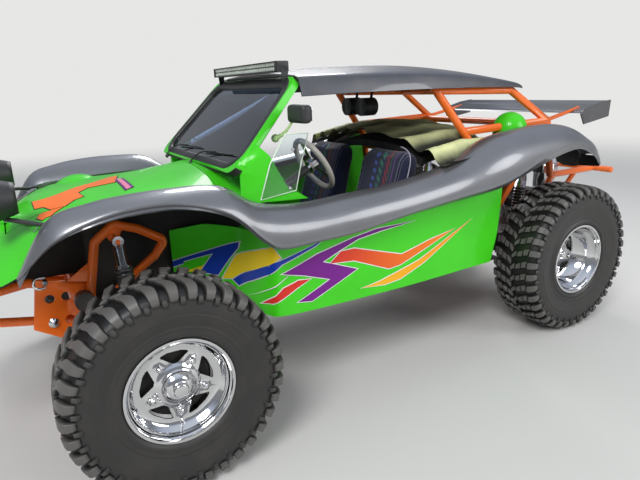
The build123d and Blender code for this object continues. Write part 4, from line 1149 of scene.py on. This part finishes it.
lamp = {"centre": (0.400, -0.520, 1.110), "radius": 0.092}
forward = (0, -1, 0)
r = lamp["radius"]
bezel = turned("bezel", [(0.000, r + 0.001), (0.010, r + 0.0025), (0.015, r + 0.001), (0.016, r - 0.006),
                         (0.011, r - 0.009), (0.001, r - 0.009)], 64)
lens = turned("lens", [(0.002, r - 0.009), (0.008, r - 0.009), (0.015, r - 0.032), (0.018, r - 0.062),
                       (0.019, 0.0001), (0.0155, 0.0001), (0.014, r - 0.062), (0.010, r - 0.032)], 64)
bowl = turned("bowl", [(0.001, r - 0.009), (0.0018, r - 0.010), (0.0012, 0.040), (0.0030, 0.020), (0.0045, 0.010),
                       (0.0048, 0.0001), (0.0004, 0.0001), (0.0004, r - 0.009)], 64)
centre = at(*lamp["centre"])
for label, mesh, finishName in (("lampBezel", bezel, "chrome"), ("lampLens", lens, "glass"),
                                ("lampBowl", bowl, "chrome")):
    mesh = closeTo(mesh)
    smoothByAngle(mesh, 40)
    bothSides(label, pointed(centre, forward, mesh), "root", slotOf["lamps"], (finishName,))
print("headlamps dressed")


# Mirror: a black head with its glass, on an arm of lime enamel

mirror = {"low": (0.585, 0.665, 1.333), "high": (0.735, 0.717, 1.411)}
head = softBlock("mirrorHead", at(*mirror["low"]), at(*mirror["high"]), 0.024, 6)
pieceFrom("mirrorHead", head, "root", slotOf["mirror"], ("black_plastic",), ("mirror",))
x0, z0 = mirror["low"][0], mirror["low"][2]
x1, z1 = mirror["high"][0], mirror["high"][2]
glassPane = softBlock("mirrorGlass", at(x0 + 0.010, 0.7165, z0 + 0.010), at(x1 - 0.010, 0.7180, z1 - 0.010), 0.0005, 1)
pieceFrom("mirrorGlass", glassPane, "root", slotOf["mirror"], ("chrome",))
arms = [tubeOf("mirrorArm", [at(0.500, 0.650 + dy, 1.258 + dz), at(0.540, 0.664 + dy, 1.272 + dz),
                             at(0.590, 0.680 + dy, 1.318 + dz), at(0.612, 0.688, 1.350 + dz)], 0.0052)
        for dy, dz in ((0.0, 0.0), (0.010, 0.014))]
foot = pointed(at(0.494, 0.650, 1.262), (0.9, -0.3, 0.1),
              turned("foot", [(0, 0.019), (0.006, 0.019), (0.012, 0.012), (0.020, 0.0095), (0.020, 0.0001),
                              (0, 0.0001)], 24))
pieceFrom("mirrorArm", joined("mirrorArm", [*arms, foot]), "root", slotOf["mirror"], ("lime_enamel",))
print("mirror made")


# Wind deflectors: clear panes, with a pale tube on their edges as a painted highlight

pane = {"x": 0.5823,
        "outline": [(0.521, 1.008), (0.697, 1.030), (0.728, 1.151), (0.771, 1.282), (0.656, 1.286), (0.575, 1.160)]}
edgeLine = [at(pane["x"] + 0.0025, y, z) for y, z in pane["outline"]]
rim = tubeOf("deflectorEdge", edgeLine, 0.0034, closed=True, kind="POLY", sides=8)
bothSides("deflectorEdge", rim, "root", slotOf["deflectors"], ("edge_glow",))
screws = []
for y, z in ((0.665, 1.045), (0.690, 1.215)):
    screws.append(pointed(at(pane["x"] + 0.004, y, z), (1, 0, 0),
                         turned("screw", [(0, 0.008), (0.003, 0.008), (0.005, 0.005), (0.005, 0.0001), (0, 0.0001)],
                                16)))
bothSides("deflectorScrews", joined("screws", screws), "root", slotOf["deflectors"], ("chrome",))
print("deflectors dressed")


# Steering wheel: a thick pale rim with three spokes, riding with the column's turn

wheel = {"centre": (0.300, 0.950, 1.095), "radius": 0.142, "grip": 0.0145, "spokes": 3}
column = Vector((0, 0.87357, 0.4867))
ring = turned("wheelRim", [(wheel["grip"] * math.cos(a), wheel["radius"] + wheel["grip"] * math.sin(a))
                           for a in [2 * math.pi * n / 18 for n in range(18)]], 96)
spoke = softBlock("spoke", (-0.0045, -0.017, 0.020), (0.0045, 0.017, wheel["radius"] - 0.004), 0.003, 2)
spokes = around("spokes", spoke, wheel["spokes"], "polished_aluminium")
hubPart = turned("wheelHub", [(-0.030, 0.034), (0.010, 0.036), (0.018, 0.030), (0.020, 0.0001), (-0.030, 0.0001)], 48)
shaft = turned("wheelShaft", [(-0.150, 0.011), (-0.028, 0.011), (-0.028, 0.0001), (-0.150, 0.0001)], 24)
centre = at(*wheel["centre"])
spin = column.to_track_quat("X", "Z").to_matrix().to_4x4()
ring = moved(ring, Matrix.Translation(centre) @ spin)
smoothByAngle(ring, 60)
pieceFrom("wheelRim", ring, "steering_wheel", slotOf["steering_wheel"], ("pale_leather",), ("steering_wheel",))
metal = moved(joined("wheelMetal", [spokes, hubPart, shaft]), Matrix.Translation(centre) @ spin)
smoothByAngle(metal, 35)
pieceFrom("wheelMetal", metal, "steering_wheel", slotOf["steering_wheel"], ("polished_aluminium",))
print("steering wheel made")


# Dampers: bellows over their lower halves

dampers = (  # name, low, high, radius of the bellows, ribs
    ("front", (0.550, -0.075, 0.700), (0.540, -0.090, 0.915), 0.036, 4),
    ("rear", (0.440, 2.330, 0.500), (0.440, 2.400, 1.160), 0.038, 16),
)
for name, low, high, size, ribs in dampers:
    a, b = at(*low), at(*high)
    run = b - a
    length = run.length * 0.5
    profile = [(0.030, 0.0001), (0.030, size - 0.006)]
    for n in range(ribs):
        x = 0.030 + (length - 0.030) * n / ribs
        step = (length - 0.030) / ribs
        profile += [(x + 0.25 * step, size), (x + 0.55 * step, size), (x + 0.85 * step, size - 0.006)]
    profile += [(length, size - 0.009), (length, 0.0001)]
    boot = turned(name + "Boot", profile, 32)
    smoothByAngle(boot, 50)
    bothSides(name + "Boot", pointed(a, run, boot), "root", slotOf[name + "_shocks"], ("black_rubber",))
print("dampers dressed")


# A shackle and a bolt on each beam plate

shackle = tubeOf("shackle", [at(0.418, -0.365, 0.782), at(0.418, -0.400, 0.788), at(0.418, -0.412, 0.760),
                             at(0.418, -0.400, 0.734), at(0.418, -0.365, 0.740)], 0.0065)
pin = pointed(at(0.400, -0.368, 0.760), (1, 0, 0),
             turned("pin", [(0, 0.0001), (0, 0.010), (0.003, 0.012), (0.026, 0.012), (0.029, 0.010),
                            (0.029, 0.0001)], 20))
bothSides("shackle", joined("shackle", [shackle, pin]), "root", slotOf["front_frame"], ("chrome",))
bolt = turned("bolt", [(-0.012, 0.0001), (-0.012, 0.017), (0.004, 0.017), (0.006, 0.020), (0.009, 0.020),
                       (0.022, 0.003), (0.023, 0.0001)], 24)
smoothByAngle(bolt, 30)
bothSides("plateBolt", pointed(at(0.418, -0.362, 0.586), (1, 0, 0), bolt), "root", slotOf["front_frame"], ("chrome",))

# Brake drums inside the wheels, seen through the rims' windows

drums = (("front", -0.050, 0.030, "knuckle_{side}"), ("rear", -0.118, -0.036, "root"))
for end, low, high, body in drums:
    drum = turned(end + "Drum", [(low, 0.0001), (low, 0.134), (low + 0.006, 0.140), (low + 0.018, 0.140),
                                 (low + 0.022, 0.134), (low + 0.030, 0.134), (low + 0.034, 0.140),
                                 (high - 0.008, 0.140), (high, 0.132), (high, 0.060), (high + 0.006, 0.056),
                                 (high + 0.006, 0.0001)], 64)
    smoothByAngle(drum, 30)
    drum.transform(Matrix.Translation(at(*tyres[end]["centre"])))
    bothSides(end + "Drum", drum, body, slotOf["knuckle_left"], ("undercoat",))


# Dark tub under the nose: the inner walls between the front wheels, from the middle of its front to one side

tubLine = [(0.0, -0.560, 0.735), (0.125, -0.560, 0.735), (0.250, -0.560, 0.735), (0.262, -0.380, 0.735),
           (0.270, -0.195, 0.735), (0.378, -0.190, 0.625), (0.382, 0.100, 0.625), (0.384, 0.480, 0.560)]


def noseHeights(start, ray):
    # where a ray meets the nose and the bonnet
    hits = [skinTrees[name].ray_cast(start, ray)[0] for name in ("nose", "bonnet")]
    return [hit.z for hit in hits if hit is not None]


def tubColumn(x, y, foot):
    # points from the foot up to the skin above
    top = min(noseHeights(at(x, y, foot), axisZ), default=1.002) - 0.002
    return [at(x, y, foot + (top - foot) * t) for t in (0, 0.25, 0.5, 0.75, 1)]


columns = [tubColumn(*row) for row in tubLine]
tubMesh = sheetOf("noseTub", columns[::-1] + [[mirrorX @ p for p in column] for column in columns[1:]])
if sum(f.normal.x * f.center.x * f.area for f in tubMesh.polygons) < 0:
    tubMesh.flip_normals()
belly = sheetOf("belly", [[at(s * x, y, foot) for s in (-1, -0.4, 0.4, 1)] for x, y, foot in tubLine[2:5]])
shell = thickened(joined("noseTub", [tubMesh, facing(belly, -axisZ)]), 0.004, "undercoat")
pieceFrom("noseTub", shell, "root", slotOf["floor_pan"], ("undercoat", "undercoat"))


# Rubber strip over the nose's seam, and a spring clip

strip = [(0.205, -0.428), (0.270, -0.410), (0.340, -0.388), (0.404, -0.358), (0.451, -0.332), (0.520, -0.318),
         (0.578, -0.330)]


def onNose(x, y, rise):
    return at(x, y, max(noseHeights(at(x, y, 1.5), -axisZ), default=0.95) + rise)


bead = tubeOf("noseStrip", [onNose(x, y, 0.005) for x, y in strip], 0.0075)
bothSides("noseStrip", bead, "root", slotOf["nose"], ("black_rubber",))
clip = tubeOf("clip", [onNose(0.449, -0.375, 0.004), onNose(0.453, -0.357, 0.016), onNose(0.459, -0.335, 0.017),
                       onNose(0.465, -0.315, 0.004)], 0.0034, sides=8)
bothSides("noseClip", clip, "root", slotOf["nose"], ("chrome",))
print("fittings made")


# Speaker pods: a grille of rings over a cone, at both ends

for n, x in enumerate((-0.060, -0.220)):
    rings = [turned("ring", [(0.000, q), (0.003, q), (0.003, q - 0.003), (0.000, q - 0.003)], 40)
             for q in (0.0535, 0.043, 0.033, 0.023, 0.013)]
    cone = turned("cone", [(0.0005, 0.050), (0.0008, 0.030), (0.0022, 0.012), (0.0024, 0.0001), (0.0002, 0.0001),
                           (0.0002, 0.050)], 40)
    ends = [pointed(at(x, y, 1.352), direction, joined("end", rings + [cone]))
            for y, direction in ((1.495, (0, -1, 0)), (1.585, (0, 1, 0)))]
    pieceFrom(f"podGrille{n + 1}", joined("podGrille", ends), "root", slotOf["speaker_pods"], ("black_plastic",))
print("pods dressed")


# Seats: back and squab swollen by a cloth simulation, on steel rails

seat = {"inner": 0.086, "outer": 0.538, "inset": 0.008, "voxel": 0.0075, "cap": 0.013, "frames": 20,
        "seams": (0.130, 0.870), "seam": 0.006}
# side outlines (y, z) of the two pads, a little inside the CAD's seat
seatPads = {
    "seatSquab": [(0.962, 0.572), (0.968, 0.672), (1.000, 0.682), (1.232, 0.652), (1.300, 0.640), (1.330, 0.590),
                  (1.322, 0.572)],
    "seatBack": [(1.262, 0.668), (1.330, 0.870), (1.398, 1.098), (1.418, 1.132), (1.442, 1.142), (1.466, 1.126),
                 (1.474, 1.100), (1.428, 0.900), (1.392, 0.745), (1.350, 0.664)],
}


def asCloth(mesh, frames, gravity, settings, contact=()):
    # the mesh after a cloth simulation
    obj = linked("cloth", mesh)
    cloth = obj.modifiers.new("cloth", "CLOTH")
    cloth.settings.effector_weights.gravity = gravity
    for owner, values in ((cloth.settings, settings), (cloth.collision_settings, dict(contact))):
        for key, value in values.items():
            setattr(owner, key, value)
    cloth.point_cache.frame_start, cloth.point_cache.frame_end = 1, frames
    for step in range(1, frames + 1):
        bpy.context.scene.frame_set(step)
    result = evaluated(obj)
    bpy.data.objects.remove(obj)
    bpy.context.scene.frame_set(1)
    return result


def roundedTop(mesh, corner, top):
    # draws the upper corners in along a quarter circle
    middle, half = (seat["inner"] + seat["outer"]) / 2, (seat["outer"] - seat["inner"]) / 2
    for v in mesh.vertices:
        rise = v.co.z - (top - corner)
        if rise > 0:
            share = (half - corner + math.sqrt(max(corner ** 2 - min(rise, corner) ** 2, 0))) / half
            v.co.x = middle + (v.co.x - middle) * max(share, 0.15)


def swollen(mesh):
    # cloth under pressure with no gravity; no point moves further than the cap
    start = [v.co.copy() for v in mesh.vertices]
    push = {"use_pressure": True, "uniform_pressure_force": 4.0, "quality": 4}
    result = asCloth(mesh, seat["frames"], 0.0, push)
    for v, place in zip(result.vertices, start):
        move = v.co - place
        if move.length > seat["cap"]:
            v.co = place + move.normalized() * seat["cap"]
    return result


def sewn(mesh, back):
    # seams sunk beside the bolsters
    across = seat["outer"] - seat["inner"]
    normals = [v.normal.copy() for v in mesh.vertices]
    for v, normal in zip(mesh.vertices, normals):
        facing = -normal.y if back else normal.z
        if facing < 0.25:
            continue
        u = (v.co.x - seat["inner"]) / across
        depth = 0.0
        for line in seat["seams"]:
            depth += seat["seam"] * math.exp(-((u - line) * across / seat["seam"]) ** 2)
        v.co -= normal * depth


def clothMap(mesh, back):
    # U across the seat towards +X, V along it from the knee to the top, in metres
    layer = mesh.uv_layers.new(name="cloth")
    across = seat["outer"] - seat["inner"]
    for loop in mesh.loops:
        point = mesh.vertices[loop.vertex_index].co
        middle = (seat["inner"] + seat["outer"]) / 2 * (1 if point.x > 0 else -1)
        v = point.z * 1.05 if back else point.y
        layer.data[loop.index].uv = ((point.x - middle) / across + 0.5, v)


for name, outline in seatPads.items():
    back = name == "seatBack"
    block = plate(name, outline, seat["inner"] + seat["inset"], seat["outer"] - seat["inset"])
    mesh = shaped(block, "BEVEL", width=0.012, segments=3, limit_method="ANGLE")
    mesh = shaped(mesh, "REMESH", mode="VOXEL", voxel_size=seat["voxel"])
    if back:
        roundedTop(mesh, corner=0.100, top=1.142)
    mesh = shaped(swollen(mesh), "SUBSURF", levels=1, render_levels=1)
    sewn(mesh, back)
    for side, matrix in sides:
        piece = moved(mesh, matrix)
        clothMap(piece, back)
        smoothByAngle(piece, 60)
        obj = pieceFrom(f"{name}{side.title()}", piece, "root", slotOf["seat_left"], ("seat_fabric",),
                        (f"seat_{side}",))
railMesh = joined("seatRails", [softBlock("rail", at(x, 0.990, 0.4975), at(x + 0.030, 1.290, 0.562), 0.003, 2)
                                for x in (0.120, 0.470)])
bothSides("seatRails", railMesh, "root", slotOf["seat_left"], ("black_steel",))
piping = tubeOf("seatPiping", [at(0.534, 1.290, 0.700), at(0.536, 1.335, 0.860), at(0.536, 1.385, 1.020),
                               at(0.526, 1.412, 1.100), at(0.480, 1.424, 1.146), at(0.420, 1.428, 1.153)], 0.0032,
                sides=8)
bothSides("seatPiping", piping, "root", slotOf["seat_left"], ("piping",))
print("seats made")


# Cover: a sheet with loose folds, let fall on the space behind the seats

sheet = {"wide": 1.60, "long": 0.50, "columns": 150, "rows": 50, "frames": 5, "waves": 8.5, "turn": 1.32,
         "front": 1.470, "lift": 0.006, "gap": 0.004, "sag": 0.28, "shade": 1.35, "ridge": 0.036}
# crown line of the space it lies on: y and height
bedRows = ((1.36, 1.170), (1.51, 1.204), (1.70, 1.234), (1.88, 1.224), (2.10, 1.200))


def foldedSheet():
    # the line across the sheet keeps its length while it swings up and down
    rows = []
    for r in range(sheet["rows"] + 1):
        y = sheet["front"] + sheet["long"] * 0.94 * r / sheet["rows"]
        step = sheet["wide"] / sheet["columns"]
        x, z, line = 0.0, 0.0, []
        for c in range(sheet["columns"] + 1):
            line.append((x, z))
            share = c / sheet["columns"]
            drift = 1.1 * math.sin(2.3 * r / sheet["rows"] + 4 * share) + 0.8 * r / sheet["rows"]
            angle = sheet["turn"] * (0.55 + 0.45 * math.sin(5.1 * share + 1.7)) * math.sin(
                2 * math.pi * sheet["waves"] * share + drift)
            x += step * math.cos(angle)
            z += step * math.sin(angle)
        middle = sum(p[0] for p in line) / len(line)
        low = min(p[1] for p in line)
        rest = readOff(bedRows, y) + sheet["lift"]
        rows.append([at(px - middle, y, rest - sheet["sag"] * (px - middle) ** 2 + pz - low) for px, pz in line])
    return facing(sheetOf("cover", rows), axisZ)


def bed():
    # the top of the CAD's cover, drawn out a little past its edges
    across = [n * 0.08 for n in range(-9, 10)]
    rows = [[at(x, y, crown - sheet["sag"] * x * x) for x in across] for y, crown in bedRows]
    return facing(sheetOf("bed", rows), axisZ)


def fallen(mesh, support):
    holder = linked("holder", support)
    holder.modifiers.new("stop", "COLLISION")
    holder.collision.thickness_outer = sheet["gap"]
    holder.collision.cloth_friction = 80
    stiff = {"quality": 6, "mass": 0.15, "tension_stiffness": 60, "bending_stiffness": 300}
    contact = {"friction": 60, "distance_min": sheet["gap"], "use_self_collision": True,
               "self_distance_min": sheet["gap"]}
    result = asCloth(mesh, sheet["frames"], 0.35, stiff, contact)
    bpy.data.objects.remove(holder)
    return result


support = bed()
coverMesh = fallen(foldedSheet(), support.copy())
# painted shade for the finish: 1 low between the folds, 0 on their ridges
hollow = coverMesh.attributes.new("hollow", "FLOAT", "POINT")
supportTree = skinTree(support)
for v in coverMesh.vertices:
    down = supportTree.ray_cast(v.co + Vector((0, 0, 0.3)), -axisZ)[0]
    rise = v.co.z - down.z if down is not None else 0.0
    hollow.data[v.index].value = min(max(sheet["shade"] - rise / sheet["ridge"], 0), 1)
smoothByAngle(coverMesh, 70)
cover = pieceFrom("rearSheet", coverMesh, "root", slotOf["rear_cover"], ("canvas",))
smoothed("rear_cover", 30, finishes=("undercoat",))
print("cover draped, area", round(sum(p.area for p in coverMesh.polygons), 3))


# What is left of the frame

plain = sorted(left)
for name in plain:
    smoothed(name, finishes=(slotOf[name], "undercoat") if name == "nose" else ())
print("frame pieces smoothed:", len(plain))

bpy.context.scene.view_settings.view_transform = "Standard"
